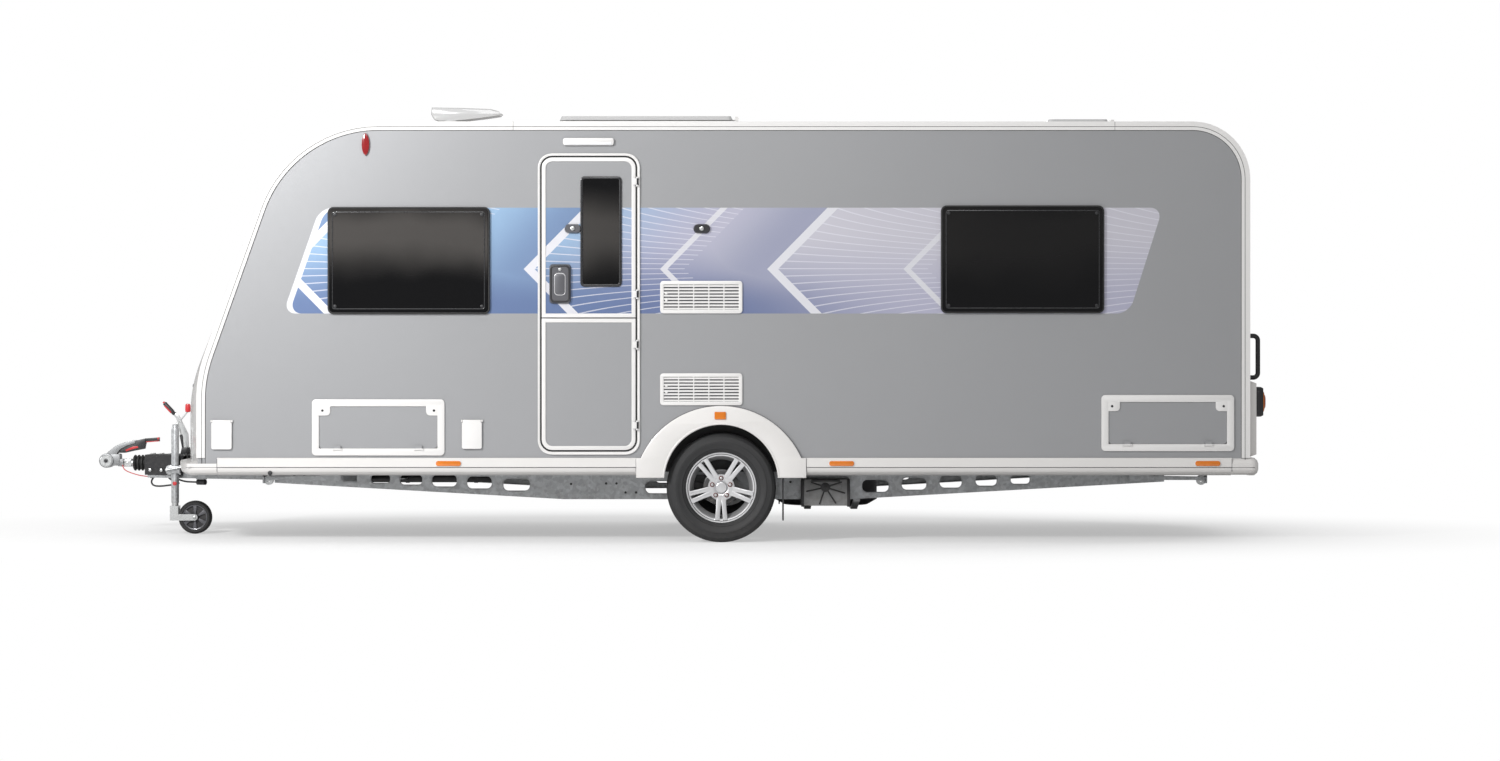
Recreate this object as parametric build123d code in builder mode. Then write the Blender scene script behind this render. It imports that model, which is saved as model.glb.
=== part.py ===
"""Single-axle travel caravan, parked on its wheels and its jockey wheel.

Millimetres. +X points to the rear, the coupling is at -X, the entrance door is on the near side at -Y,
+Z is up and the floor is at Z = 0. The origin is the bottom centre of the caravan's box.
"""

import os
from math import cos, hypot, pi, radians, sin, tan

from build123d import *

os.makedirs("parts", exist_ok=True)

NEAR = -1
FAR = 1

# Body shell: side view, wall and bow of the front panel
WALL = 32
HALF_WIDTH = 1195
INNER = HALF_WIDTH - WALL
FRONT_X = -2749
REAR_X = 3513
ROOF_Z = 2503
WALL_BOTTOM = 430
FRONT_SLOPE = 19.6
SLOPE_X = -2493.6
SLOPE_Z = 1708
LOW_RADIUS = 826
TOP_RADIUS = 765
REAR_RADIUS = 337
BOW_LOW = 226
BOW_WINDOW = 145
CENTRE_SLOPE = 22.5
CROWN = 57
FRONT_SPLIT = -1640
REAR_SPLIT = REAR_X - REAR_RADIUS - 40
FIT = 0.3
GAP = 6
LINING = 8
CORNER = 20

# Pinned hinges: a barrel on the leaf between two lugs that carry the pin
HINGE_PIN = 3
HINGE_HALF = 20
LUG_LENGTH = 8
HINGE_FORMS = {
    # barrel radius, lug blocks and leaf blocks as u0, u1, v0, v1: u runs to the leaf, v outwards
    "door": (7, [(-12, 4, -11, 0)], [(0, 24, 2, 7), (14, 24, -17, 7)]),
    "hatch": (5.5, [(-11, 3, -8, 0)], [(0, 22, 1, 5.5), (10, 22, -13, 5.5)]),
    "lid": (6, [(-24, 0, -5, 5), (-24, -8, -17, 5)], [(0, 24, -5, 5), (8, 24, -17, 5)]),
    "rooflight": (5.5, [(-8, 0, -5.5, 5.5)], [(0, 24, -5.5, 5.5)]),
}

# Floor and partitions
FLOOR_Z = 415
FLOOR_TOP = 460
BULKHEAD_X = -2480
BULKHEAD_WALL = 20
SHELF_Z = 1438
SHELF_GAP = 3

# Wheels and their arches
AXLE_X = 369
TYRE_RADIUS = 327
TYRE_WIDTH = 195
WHEEL_Y = HALF_WIDTH - 120
RIM_RADIUS = 195
RIM_LIP = 210
RIM_WIDTH = 150
RIM_WALL = 9
SPOKE_PAIRS = 5
SPOKE_ANGLE = 9.5
BOLT_CIRCLE = 112
HUB_CAP_RADIUS = 34
DRUM_RADIUS = 108
DRUM_DEPTH = 70
STUB_RADIUS = 20
RUNNING_FIT = 0.05
ARCH_Z = 365
ARCH_RADIUS = 350
BOX_WALL = 8
BOX_INNER_Y = HALF_WIDTH - 265
SPAT_DEPTH = 30
SPAT_OPENING = 338
SPAT_CENTRE_Z = 292
SPAT_RADIUS = 524
SPAT_BOTTOM = 387
SPAT_FRONT = -137
SPAT_REAR = 876.5

# Awning rails along the edge of each side wall
RAIL_PROUD = 8
RAIL_LIP = 6
RAIL_WIDTH = 45

# Lower skirts
SKIRT_TOP = 506
SKIRT_BOTTOM = 402
SKIRT_PROUD = 20
SKIRT_FRONT = -2630
SKIRT_REAR = 3407
GROOVE_Z = 449
MOULDING_PROUD = 55
NOSE_CORNER = 60
BUMPER_X = 3573
BUMPER_CORNER = 50
MOULDING_STEPS = [(20, 20), (14, 50)]

# Windows: x0, x1, z0, z1 of each outer pane
WINDOW_PROUD = 24
WINDOW_LIP = 28
WINDOW_FRAME = 24
WINDOW_RADIUS = 30
WINDOW_HOLE_RADIUS = 14
NEAR_WINDOWS = [(-1969, -1011, 1366, 1996), (1681, 2645, 1371, 2005)]
FAR_WINDOWS = [(-1969, -1011, 1366, 1996), (-330, 420, 1420, 1996), (1681, 2645, 1371, 2005)]

# Front windows and skylight: y0, y1, z0, z1 seen from the front
FRONT_WINDOWS = [(-1075, -590, 1510, 2085), (-550, 550, 1490, 2105), (590, 1075, 1510, 2085)]
FRONT_WINDOW_RADIUS = 60
SKYLIGHT_X = -2150
SKYLIGHT_TILT = 45
SKYLIGHT_WIDTH = 1000
SKYLIGHT_HEIGHT = 480
REAR_WINDOW = (-620, 620, 1267, 1951)

# Entrance door: leaf edges, frame edges and the level where the leaf divides
DOOR_LEAF = (-699, -140, 553, 2295)
DOOR_FRAME = (-720, -116, 527, 2317)
DOOR_SPLIT = 1339
DOOR_RADIUS = 62
DOOR_GLASS_RADIUS = 20
LEAF_THICK = 35
LEAF_PROUD = 5
HINGE_X = -130
HINGE_Y = HALF_WIDTH + 20
DOOR_HINGE_LEVELS = {"door_lower": (700, 1180), "door_upper": (1480, 2150)}
DOOR_WINDOW = (-463, -228, 1530, 2177)
DOOR_HANDLE = (-654, -525, 1424, 1661)
RETAINER_Z = 1871
RETAINER_X = -514
RETAINER_SIZE = (100, 56, 27)

# Locker doors: panel x0, x1, z0, z1, and how far the frame reaches beyond it
NEAR_LOCKERS = {"front": (-2024, -1320, 563, 812), "rear": (2676, 3380, 589, 838)}
LOCKER_FRAME = 42
LOCKER_RING = 8
LOCKER_HINGE_OUT = 15
LOCKER_HINGE_INSET = 110
SERVICE_HATCH = (2700, 3100, 560, 905)
SERVICE_HINGE_INSET = 80

# Inlet flaps: x0, x1, z0, z1
NEAR_FLAPS = {"front": (-2658, -2549, 560, 731), "rear": (-1167, -1061, 563, 733)}
FLAP_THICK = 12
FLAP_GAP = 5
INLET_RIM = 8
INLET_DEPTH = 70
INLET_WALL = 4
FLAP_HINGE_DROP = 6
FLAP_PIN = 2.5
FLAP_PIN_REACH = 12
FLAP_LUG_GAP = 3

# Refrigerator vents: x0, x1, z0, z1
VENTS = [(6, 496, 819, 1010), (6, 496, 1366, 1560)]
VENT_THICK = 12
VENT_SLOTS = (5, 8)
VENT_MARGIN = 24
VENT_BAR = 10

# Gas-locker lid in the front panel
LID_HALF = 560
LID_BOTTOM = 875
LID_TOP = 1420
LID_RADIUS = 70
LID_HINGE_OUT = 9
LID_HINGE_Y = 140

# Rooflights: x0, x1, half width
ROOFLIGHTS = {"large": (-650, 470, 400), "small": (2420, 2850, 200)}
ROOFLIGHT_FRAME_TOP = ROOF_Z + CROWN + 30
ROOFLIGHT_LID_TOP = ROOFLIGHT_FRAME_TOP + 31
ROOFLIGHT_STRIP = 22
ROOFLIGHT_RING = 50
ROOFLIGHT_HINGE_X = 28
ROOFLIGHT_HINGE_Z = ROOFLIGHT_FRAME_TOP + 18

# Aerial on the roof
AERIAL_Y = -450
AERIAL_FRONT = -1437
AERIAL_REAR = -998
AERIAL_TOP = ROOF_Z + 164
AERIAL_DROP = 27
AERIAL_WIDTH = 46

# Lamps: x0, x1 of the skirt markers; edges of the others, the high lamp's as y0, y1, z0, z1
AMBER_MARKERS = [(-1327, -1178), (1012, 1160), (3189, 3338)]
ARCH_REFLECTOR = (330, 398, 736, 781)
HIGH_MARKER = (-1770, -1725, 2306, 2440)
MARKER_DEPTH = 9
AWNING_LAMP = (-572, -269, 2366, 2410)
AWNING_LAMP_DEPTH = 26
HIGH_LAMP = (-170, 170, 2040, 2085)
HIGH_LAMP_DEPTH = 22

# Rear end
REAR_MOULDING_TOP = 970
REAR_MOULDING_X = 3567
REAR_LAMP = (750, 929)
REAR_LAMP_Y = (900, 1130)
REAR_LAMP_X = 3612
REAR_LENS_X = 3635
PLATE_RECESS = (540, 130, 5)
GRAB_Y = 1000
GRAB_BOTTOM = 985
GRAB_TOP = 1236
GRAB_OUT = 103
GRAB_RADIUS = 14

# Chassis rails: x and z of the lower edge, and the lightening holes
CHASSIS_Y = HALF_WIDTH - 345
SHEET = 4
FLANGE = 40
CHASSIS_EDGE = [(-2350, 345), (-590, 245), (1150, 245), (3060, 352)]
HOLE_MARGIN_LOW = 30
HOLE_MARGIN_TOP = 16
HOLE_HEIGHT = 85
CHASSIS_HOLES = [
    # centre x, width
    (-1885, 119),
    (-1706, 127),
    (-1520, 146),
    (-1318, 162),
    (-1105, 162),
    (-879, 173),
    (-18, 165),
    (1304, 173),
    (1539, 162),
    (1762, 146),
    (1978, 140),
    (2185, 127),
]
CROSS_MEMBER_X = [-1600, 700, 2560]
CROSS_MEMBER_SECTION = 44

# Axle
AXLE_TUBE_X = 219
AXLE_TUBE_Z = 300
AXLE_TUBE_RADIUS = 55
AXLE_PLATE = 10
ARM_THICK = 36

# Drawbars
DRAWBAR_BOTTOM = 350
DRAWBAR_TOP = SKIRT_BOTTOM - 2
DRAWBAR_WIDTH = 40
DRAWBAR_NOSE_X = -3290
DRAWBAR_NOSE_Y = 84
DRAWBAR_REAR_X = -1790
DRAWBAR_REAR_Y = CHASSIS_Y - DRAWBAR_WIDTH / 2 - FLANGE - FIT
DRAWBAR_BRACKET = 60

# Overrun housing, shaft and coupling
HOUSING_FRONT = -3309
HOUSING_REAR = -3040
HOUSING_BOTTOM = 367
HOUSING_TOP = 495
HOUSING_WALL = 6
SHAFT_Z = 441
SHAFT_RADIUS = 26
BALL_X = -3570
BALL_Z = 455
BALL_RADIUS = 25.25
HEAD_RADIUS = 46
HEAD_LENGTH = 90
HEAD_BELOW = 34
HANDLE_WIDTH = 44
HANDLE_SHAPE = [
    # along from the ball, up from the head's top
    (10, 0),
    (56, 46),
    (115, 70),
    (186, 86),
    (245, 97),
    (334, 103),
    (334, 76),
    (252, 69),
    (239, 28),
    (174, 16),
    (HEAD_LENGTH, 0),
]
BELLOWS_FRONT = -3403
BELLOWS_RADIUS = 51.5
BELLOWS_RIBS = 4

# Handbrake lever and its strut, along from the foot and up from the housing
LEVER_X = HOUSING_REAR - 3
LEVER_THICK = 12
LEVER_APART = 11
LEVER_SHAPE = [(-32, 0), (0, 0), (-13, 130), (-77, 262), (-155, 340), (-177, 322), (-103, 240), (-47, 120)]
STRUT_SHAPE = [(-46, 0), (-28, 0), (-67, 190), (-83, 184)]

SLEEVE_WALL = 16
LUG_HALF = 8

# Red breakaway cable, from the lug on the shaft to the lug under the housing: x, y, z
CABLE_DIAMETER = 6
CABLE_ROUTE = [
    (-3468, -36, 440),
    (-3464, -37, 410),
    (-3443, -40, 390),
    (-3405, -46, 376),
    (-3365, -50, 364),
    (-3325, -53, 357),
    (-3285, -52, 353),
]

# Electric lead, from its gland under the sleeve, round a loop and over its hook to the plug: x, y, z
LEAD_DIAMETER = 11
LEAD_HOOK = (-3219, -50, 370)
HOOK_GAP = 1.5
LEAD_ROUTE = [
    (-3190, -10, 396),
    (-3190, -12, 368),
    (-3172, -22, 342),
    (-3140, -44, 326),
    (-3104, -78, 318),
    (-3085, -120, 313),
    (-3105, -160, 308),
    (-3150, -172, 302),
    (-3205, -160, 296),
    (-3250, -130, 300),
    (-3272, -92, 322),
    (-3264, -62, 350),
    (-3238, -48, 368),
    (-3200, -52, 372),
    (-3150, -78, 358),
    (-3092, -130, 340),
    (-3040, -182, 328),
    (-2992.4, -218.5, 326),
    (-2945, -240, 326),
]
PLUG_LENGTH = 60
PLUG_RADIUS = 17

# Jockey wheel post
JOCKEY_X = -3087
POST_RADIUS = 24
POST_WALL = 2.5
POST_BOTTOM = 197
POST_TOP = 655
INNER_TUBE_TOP = 520
INNER_TUBE_RADIUS = 21
CRANK_REACH = 80
CRANK_RISE = 112
CRANK_THICK = 8
KNOB_RADIUS = 17
KNOB_HEIGHT = 54
JOCKEY_RADIUS = 105
JOCKEY_WIDTH = 50
TRAIL = 128
FORK_PLATE = 5
FORK_HALF = 26
FORK_ARM = 20
FORK_GAP = 5.5

# Corner steadies: hinge x and the way the leg points
STEADY_HINGE = {"front": -1960, "rear": 2860}
STEADY_WAY = {"front": -1, "rear": 1}
STEADY_Y = HALF_WIDTH - 245
STEADY_LENGTH = 430
STEADY_HINGE_Z = 380
STEADY_WIDTH = 40
STEADY_SHEET = 6
STEADY_PIN = 7

# Spare wheel slung under the floor
SPARE_X = 1025
SPARE_STRAP_Z = 165
SPARE_STRAP = 13
SPARE_STRAP_HALF = 420
SPARE_STRAP_X = [880, 1170]

# Square unit on the near chassis rail
UNIT = (850, 1145, 205, 372)
UNIT_DEPTH = 130

# Mud flaps behind the wheels
MUD_FLAP_X = 735
MUD_FLAP_BOTTOM = 130
MUD_FLAP_THICK = 8


def side_plane(side, distance):
    """Upright plane along X, at this distance from the middle on the given side."""
    return Plane.XZ.offset(-side * distance)


def outwards(side, depth):
    """Amount to extrude from side_plane so that the solid grows away from the middle."""
    return -side * depth


def side_corners(offset, bottom):
    """Front bottom, two front corners, rear top corner and rear bottom of the side view, moved out."""
    run = tan(radians(FRONT_SLOPE))
    slope_x = SLOPE_X - offset * cos(radians(FRONT_SLOPE))
    slope_z = SLOPE_Z + offset * sin(radians(FRONT_SLOPE))
    front = FRONT_X - offset
    roof = ROOF_Z + offset
    rear = REAR_X + offset
    return [
        (front, bottom),
        (front, slope_z + (front - slope_x) / run),
        (slope_x + (roof - slope_z) * run, roof),
        (rear, roof),
        (rear, bottom),
    ]


def side_radii(offset):
    """Radii of the three rounded corners of the side view."""
    return [LOW_RADIUS + offset, TOP_RADIUS + offset, REAR_RADIUS + offset]


def front_corners(share, offset):
    """Corners of the front panel's section; share is 0 at the side walls and 1 in the middle."""
    slope = radians(FRONT_SLOPE + share * (CENTRE_SLOPE - FRONT_SLOPE))
    slope_x = SLOPE_X - share * BOW_WINDOW - offset * cos(slope)
    slope_z = SLOPE_Z + offset * sin(slope)
    front = FRONT_X - share * BOW_LOW - offset
    roof = ROOF_Z + share * CROWN + offset
    return [
        (front, WALL_BOTTOM),
        (front, slope_z + (front - slope_x) / tan(slope)),
        (slope_x + (roof - slope_z) * tan(slope), roof),
        (FRONT_SPLIT, roof),
    ]


def front_shell(outer, inner):
    """Lofted shell of the bowed front between two offsets from its outer face."""
    with BuildPart() as shell:
        for y, share in [(-INNER, 0), (0, 1), (INNER, 0)]:
            with BuildSketch(Plane.XZ.offset(-y)):
                outside = front_corners(share, outer)
                inside = front_corners(share, inner)
                with BuildLine():
                    FilletPolyline(*outside, radius=[LOW_RADIUS + outer, TOP_RADIUS + outer])
                    FilletPolyline(*inside, radius=[LOW_RADIUS + inner, TOP_RADIUS + inner])
                    Line(outside[0], inside[0])
                    Line(outside[-1], inside[-1])
                make_face()
        loft()
    return shell.part


def window_shape(edges, radius, inset=0):
    """Rounded rectangle from its edges, drawn into the sketch that is open."""
    low_u, high_u, low_v, high_v = edges
    with Locations(((low_u + high_u) / 2, (low_v + high_v) / 2)):
        RectangleRounded(high_u - low_u - 2 * inset, high_v - low_v - 2 * inset, radius)


def cut_shape(edges, radius, inset=0):
    """The same rounded rectangle, taken away from the sketch that is open."""
    low_u, high_u, low_v, high_v = edges
    with Locations(((low_u + high_u) / 2, (low_v + high_v) / 2)):
        RectangleRounded(
            high_u - low_u - 2 * inset, high_v - low_v - 2 * inset, radius, mode=Mode.SUBTRACT
        )


def grown(edges, margin):
    """Edges moved out by a margin on every side."""
    return (edges[0] - margin, edges[1] + margin, edges[2] - margin, edges[3] + margin)


def hinge_plane(axis_point, leaf_way, outward):
    """Plane across a hinge's axis: its x runs to the leaf and its y outwards."""
    return Plane(origin=axis_point, x_dir=leaf_way, z_dir=Vector(*leaf_way).cross(Vector(*outward)))


def hinge_section(plane, radius, blocks, bore, length):
    """One run of a hinge: a round boss with its blocks, bored for the pin where asked."""
    with BuildPart() as run:
        with BuildSketch(plane):
            Circle(radius)
            for low_u, high_u, low_v, high_v in blocks:
                with Locations(((low_u + high_u) / 2, (low_v + high_v) / 2)):
                    Rectangle(high_u - low_u, high_v - low_v)
            if bore:
                Circle(bore, mode=Mode.SUBTRACT)
        extrude(amount=length)
    return run.part


def hinge_lugs(plane, form):
    """The two lugs of a hinge with the pin between them."""
    radius, lug_blocks, _ = HINGE_FORMS[form]
    low = hinge_section(plane.offset(-HINGE_HALF - FIT - LUG_LENGTH), radius, lug_blocks, 0, LUG_LENGTH)
    high = hinge_section(plane.offset(HINGE_HALF + FIT), radius, lug_blocks, 0, LUG_LENGTH)
    reach = HINGE_HALF + LUG_LENGTH
    return low + high + hinge_section(plane.offset(-reach), HINGE_PIN, [], 0, 2 * reach)


def hinge_barrel(plane, form):
    """The leaf's barrel, running on the pin."""
    radius, _, leaf_blocks = HINGE_FORMS[form]
    bore = HINGE_PIN + RUNNING_FIT
    return hinge_section(plane.offset(-HINGE_HALF), radius, leaf_blocks, bore, 2 * HINGE_HALF)


def door_hinge_plane(level):
    """Hinge plane of a door leaf at this height."""
    return hinge_plane((HINGE_X, -HINGE_Y, level), (-1, 0, 0), (0, -1, 0))


def hatch_hinge_planes(side, edges):
    """Hinge planes of a locker door along its lower edge, or of the service hatch up its front edge."""
    x0, x1, z0, z1 = edges
    hinge_y = side * (HALF_WIDTH + LOCKER_HINGE_OUT)
    if side == NEAR:
        places = [(x, hinge_y, z0 - GAP) for x in (x0 + LOCKER_HINGE_INSET, x1 - LOCKER_HINGE_INSET)]
        return [hinge_plane(place, (0, 0, 1), (0, side, 0)) for place in places]
    places = [(x0 - GAP, hinge_y, z) for z in (z0 + SERVICE_HINGE_INSET, z1 - SERVICE_HINGE_INSET)]
    return [hinge_plane(place, (1, 0, 0), (0, side, 0)) for place in places]


def rooflight_hinge_planes(x1, half):
    """Hinge planes along the rear end of a rooflight."""
    places = [(x1 - ROOFLIGHT_HINGE_X, y, ROOFLIGHT_HINGE_Z) for y in (-half / 2, half / 2)]
    return [hinge_plane(place, (-1, 0, 0), (0, 0, 1)) for place in places]


def wall_holes(windows, hatches, recesses, vents):
    """Edges and corner radius of each hole in a side wall."""
    holes = [(grown(window, -WINDOW_LIP), WINDOW_HOLE_RADIUS) for window in windows]
    holes += [(grown(hatch, GAP + LINING), CORNER + GAP + LINING) for hatch in hatches]
    holes += [(grown(recess, -INLET_RIM), CORNER / 2) for recess in recesses]
    holes += [(grown(vent, -VENT_MARGIN), CORNER / 2) for vent in vents]
    return holes


near_holes = wall_holes(NEAR_WINDOWS, NEAR_LOCKERS.values(), NEAR_FLAPS.values(), VENTS)
near_holes.append((grown(DOOR_LEAF, GAP + LINING), DOOR_RADIUS + GAP + LINING))
far_holes = wall_holes(FAR_WINDOWS, [SERVICE_HATCH], [], [])

# Side walls
for side, name, holes in [(NEAR, "near", near_holes), (FAR, "far", far_holes)]:
    with BuildPart() as side_wall:
        with BuildSketch(side_plane(side, INNER)):
            with BuildLine():
                outline = side_corners(0, WALL_BOTTOM)
                FilletPolyline(*outline, radius=side_radii(0))
                Line(outline[-1], outline[0])
            make_face()
            for edges, radius in holes:
                cut_shape(edges, radius)
            with Locations((AXLE_X, ARCH_Z)):
                Circle(ARCH_RADIUS, mode=Mode.SUBTRACT)
        extrude(amount=outwards(side, WALL))
    side_wall.part.label = f"side_wall_{name}"
    export_step(side_wall.part, f"parts/side_wall_{name}.step")

# Windows of the sides, the bowed front and the rear
with BuildPart() as windows:
    for side, panes in [(NEAR, NEAR_WINDOWS), (FAR, FAR_WINDOWS)]:
        for pane in panes:
            with BuildSketch(side_plane(side, HALF_WIDTH)):
                window_shape(pane, WINDOW_RADIUS)
            extrude(amount=outwards(side, WINDOW_PROUD), taper=20)
            with BuildSketch(side_plane(side, HALF_WIDTH)):
                window_shape(grown(pane, -WINDOW_LIP - FIT), WINDOW_HOLE_RADIUS)
                cut_shape(grown(pane, -WINDOW_LIP - WINDOW_FRAME), WINDOW_HOLE_RADIUS)
            extrude(amount=outwards(side, -WALL))
front_glass = front_shell(WINDOW_LIP / 4, -WALL)


def front_prism(edges, radius, inset=0):
    """Block along X behind a window outline given as seen from the front."""
    with BuildPart() as prism:
        with BuildSketch(Plane.YZ.offset(FRONT_SPLIT)):
            window_shape(edges, radius, inset)
        extrude(amount=FRONT_X - BOW_LOW - MOULDING_PROUD - FRONT_SPLIT)
    return prism.part


def skylight_prism(inset=0):
    """Block across the curve of the front where the skylight lies."""
    tilt = radians(SKYLIGHT_TILT)
    normal = (-sin(tilt), 0, cos(tilt))
    level = ROOF_Z + CROWN - TOP_RADIUS * (1 - cos(tilt))
    with BuildPart() as prism:
        with BuildSketch(Plane(origin=(SKYLIGHT_X, 0, level), x_dir=(0, 1, 0), z_dir=normal)):
            RectangleRounded(
                SKYLIGHT_WIDTH - 2 * inset, SKYLIGHT_HEIGHT - 2 * inset, FRONT_WINDOW_RADIUS
            )
        extrude(amount=WALL * 6, both=True)
    return prism.part


LID_EDGES = (-LID_HALF, LID_HALF, LID_BOTTOM, LID_TOP)
front_panel_part = front_shell(0, -WALL)
window_parts = []
for pane in FRONT_WINDOWS:
    front_panel_part = front_panel_part - front_prism(pane, FRONT_WINDOW_RADIUS)
    window_parts.append(front_glass & front_prism(pane, FRONT_WINDOW_RADIUS, FIT))
front_panel_part = front_panel_part - skylight_prism()
window_parts.append(front_glass & skylight_prism(FIT))
gas_lid_part = front_panel_part & front_prism(LID_EDGES, LID_RADIUS)
front_panel_part = front_panel_part - front_prism(grown(LID_EDGES, GAP), LID_RADIUS + GAP)

# The lid hangs just outside the slope, in line with the middle of its top edge
lid_slope = radians(CENTRE_SLOPE)
lid_hinge_z = LID_TOP + GAP / 2
lid_hinge_x = SLOPE_X - BOW_WINDOW + (lid_hinge_z - SLOPE_Z) * tan(lid_slope)
lid_hinge_x -= LID_HINGE_OUT * cos(lid_slope)
lid_hinge_z += LID_HINGE_OUT * sin(lid_slope)
for y in (-LID_HINGE_Y, LID_HINGE_Y):
    lid_hinge = hinge_plane(
        (lid_hinge_x, y, lid_hinge_z),
        (-sin(lid_slope), 0, -cos(lid_slope)),
        (-cos(lid_slope), 0, sin(lid_slope)),
    )
    front_panel_part = front_panel_part + hinge_lugs(lid_hinge, "lid")
    gas_lid_part = gas_lid_part + hinge_barrel(lid_hinge, "lid")

# Roof, crowned across
with BuildPart() as roof_panel:
    with BuildSketch(Plane.YZ.offset(FRONT_SPLIT)):
        with BuildLine():
            ThreePointArc((-INNER, ROOF_Z), (0, ROOF_Z + CROWN), (INNER, ROOF_Z))
            ThreePointArc((-INNER, ROOF_Z - WALL), (0, ROOF_Z + CROWN - WALL), (INNER, ROOF_Z - WALL))
            Line((-INNER, ROOF_Z), (-INNER, ROOF_Z - WALL))
            Line((INNER, ROOF_Z), (INNER, ROOF_Z - WALL))
        make_face()
    extrude(amount=REAR_SPLIT - FRONT_SPLIT)
    for x0, x1, half in ROOFLIGHTS.values():
        ring = ROOFLIGHT_RING
        with BuildSketch(Plane.XY.offset(ROOF_Z - WALL)):
            with Locations(((x0 + x1) / 2, 0)):
                RectangleRounded(x1 - x0 - 2 * ring, 2 * half - 2 * ring, CORNER)
        extrude(amount=CROWN + 2 * WALL, mode=Mode.SUBTRACT)
roof_panel.part.label = "roof_panel"
export_step(roof_panel.part, "parts/roof_panel.step")

# Rear panel: flat, turning over into the crowned roof
with BuildPart() as rear_panel:
    for y, crown in [(-INNER, 0), (0, CROWN), (INNER, 0)]:
        roof = ROOF_Z + crown
        with BuildSketch(Plane.XZ.offset(-y)):
            with BuildLine():
                FilletPolyline(
                    (REAR_SPLIT, roof), (REAR_X, roof), (REAR_X, WALL_BOTTOM), radius=[REAR_RADIUS]
                )
                FilletPolyline(
                    (REAR_SPLIT, roof - WALL),
                    (REAR_X - WALL, roof - WALL),
                    (REAR_X - WALL, WALL_BOTTOM),
                    radius=[REAR_RADIUS - WALL],
                )
                Line((REAR_SPLIT, roof), (REAR_SPLIT, roof - WALL))
                Line((REAR_X, WALL_BOTTOM), (REAR_X - WALL, WALL_BOTTOM))
            make_face()
    loft()
    with BuildSketch(Plane.YZ.offset(REAR_X - 2 * WALL)):
        window_shape(grown(REAR_WINDOW, -WINDOW_LIP), WINDOW_HOLE_RADIUS)
    extrude(amount=3 * WALL, mode=Mode.SUBTRACT)
rear_panel.part.label = "rear_panel"
export_step(rear_panel.part, "parts/rear_panel.step")

with BuildPart() as rear_window:
    with BuildSketch(Plane.YZ.offset(REAR_X)):
        window_shape(REAR_WINDOW, WINDOW_RADIUS)
    extrude(amount=WINDOW_PROUD, taper=20)
    with BuildSketch(Plane.YZ.offset(REAR_X)):
        window_shape(grown(REAR_WINDOW, -WINDOW_LIP - FIT), WINDOW_HOLE_RADIUS)
        cut_shape(grown(REAR_WINDOW, -WINDOW_LIP - WINDOW_FRAME), WINDOW_HOLE_RADIUS)
    extrude(amount=-WALL)

windows_part = Compound(
    children=[*windows.part.solids(), *rear_window.part.solids()]
    + [solid for part in window_parts for solid in part.solids()]
)
windows_part.label = "windows"
export_step(windows_part, "parts/windows.step")

front_panel_part.label = "front_panel"
export_step(front_panel_part, "parts/front_panel.step")

gas_lid_part.label = "gas_locker_lid"
export_step(gas_lid_part, "parts/gas_locker_lid.step")

# Floor with the bowed front edge and the wheel boxes' cut-outs
with BuildPart() as floor:
    with BuildSketch(Plane.XY.offset(FLOOR_Z)):
        front = FRONT_X + WALL + BULKHEAD_WALL / 4
        rear = REAR_X - WALL
        with BuildLine():
            ThreePointArc((front, -INNER), (front - BOW_LOW, 0), (front, INNER))
            Polyline((front, INNER), (rear, INNER), (rear, -INNER), (front, -INNER))
        make_face()
        with Locations((AXLE_X, 0)):
            for y in (-INNER, INNER):
                with Locations((0, y)):
                    Rectangle(
                        2 * (ARCH_RADIUS + BOX_WALL + FIT),
                        2 * (INNER - BOX_INNER_Y + FIT),
                        mode=Mode.SUBTRACT,
                    )
    extrude(amount=FLOOR_TOP - FLOOR_Z)
floor.part.label = "floor"
export_step(floor.part, "parts/floor.step")

# Bulkhead and shelf that close the gas locker off from the cabin
with BuildPart() as gas_bulkhead:
    with BuildSketch(Plane.YZ.offset(BULKHEAD_X)):
        with Locations((0, (FLOOR_TOP + SHELF_Z) / 2)):
            Rectangle(2 * INNER, SHELF_Z - FLOOR_TOP)
    extrude(amount=BULKHEAD_WALL)
    with BuildSketch(Plane.XY.offset(SHELF_Z)):
        level = SHELF_Z + BULKHEAD_WALL - SLOPE_Z
        slope, centre_slope = radians(FRONT_SLOPE), radians(CENTRE_SLOPE)
        edge_x = SLOPE_X + level * tan(slope) + WALL / cos(slope) + SHELF_GAP
        centre_x = SLOPE_X - BOW_WINDOW + level * tan(centre_slope) + WALL / cos(centre_slope) + SHELF_GAP
        with BuildLine():
            ThreePointArc((edge_x, -INNER), (centre_x, 0), (edge_x, INNER))
            Polyline(
                (edge_x, INNER),
                (BULKHEAD_X + BULKHEAD_WALL, INNER),
                (BULKHEAD_X + BULKHEAD_WALL, -INNER),
                (edge_x, -INNER),
            )
        make_face()
    extrude(amount=BULKHEAD_WALL)
gas_bulkhead.part.label = "gas_locker_bulkhead"
export_step(gas_bulkhead.part, "parts/gas_locker_bulkhead.step")

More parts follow.
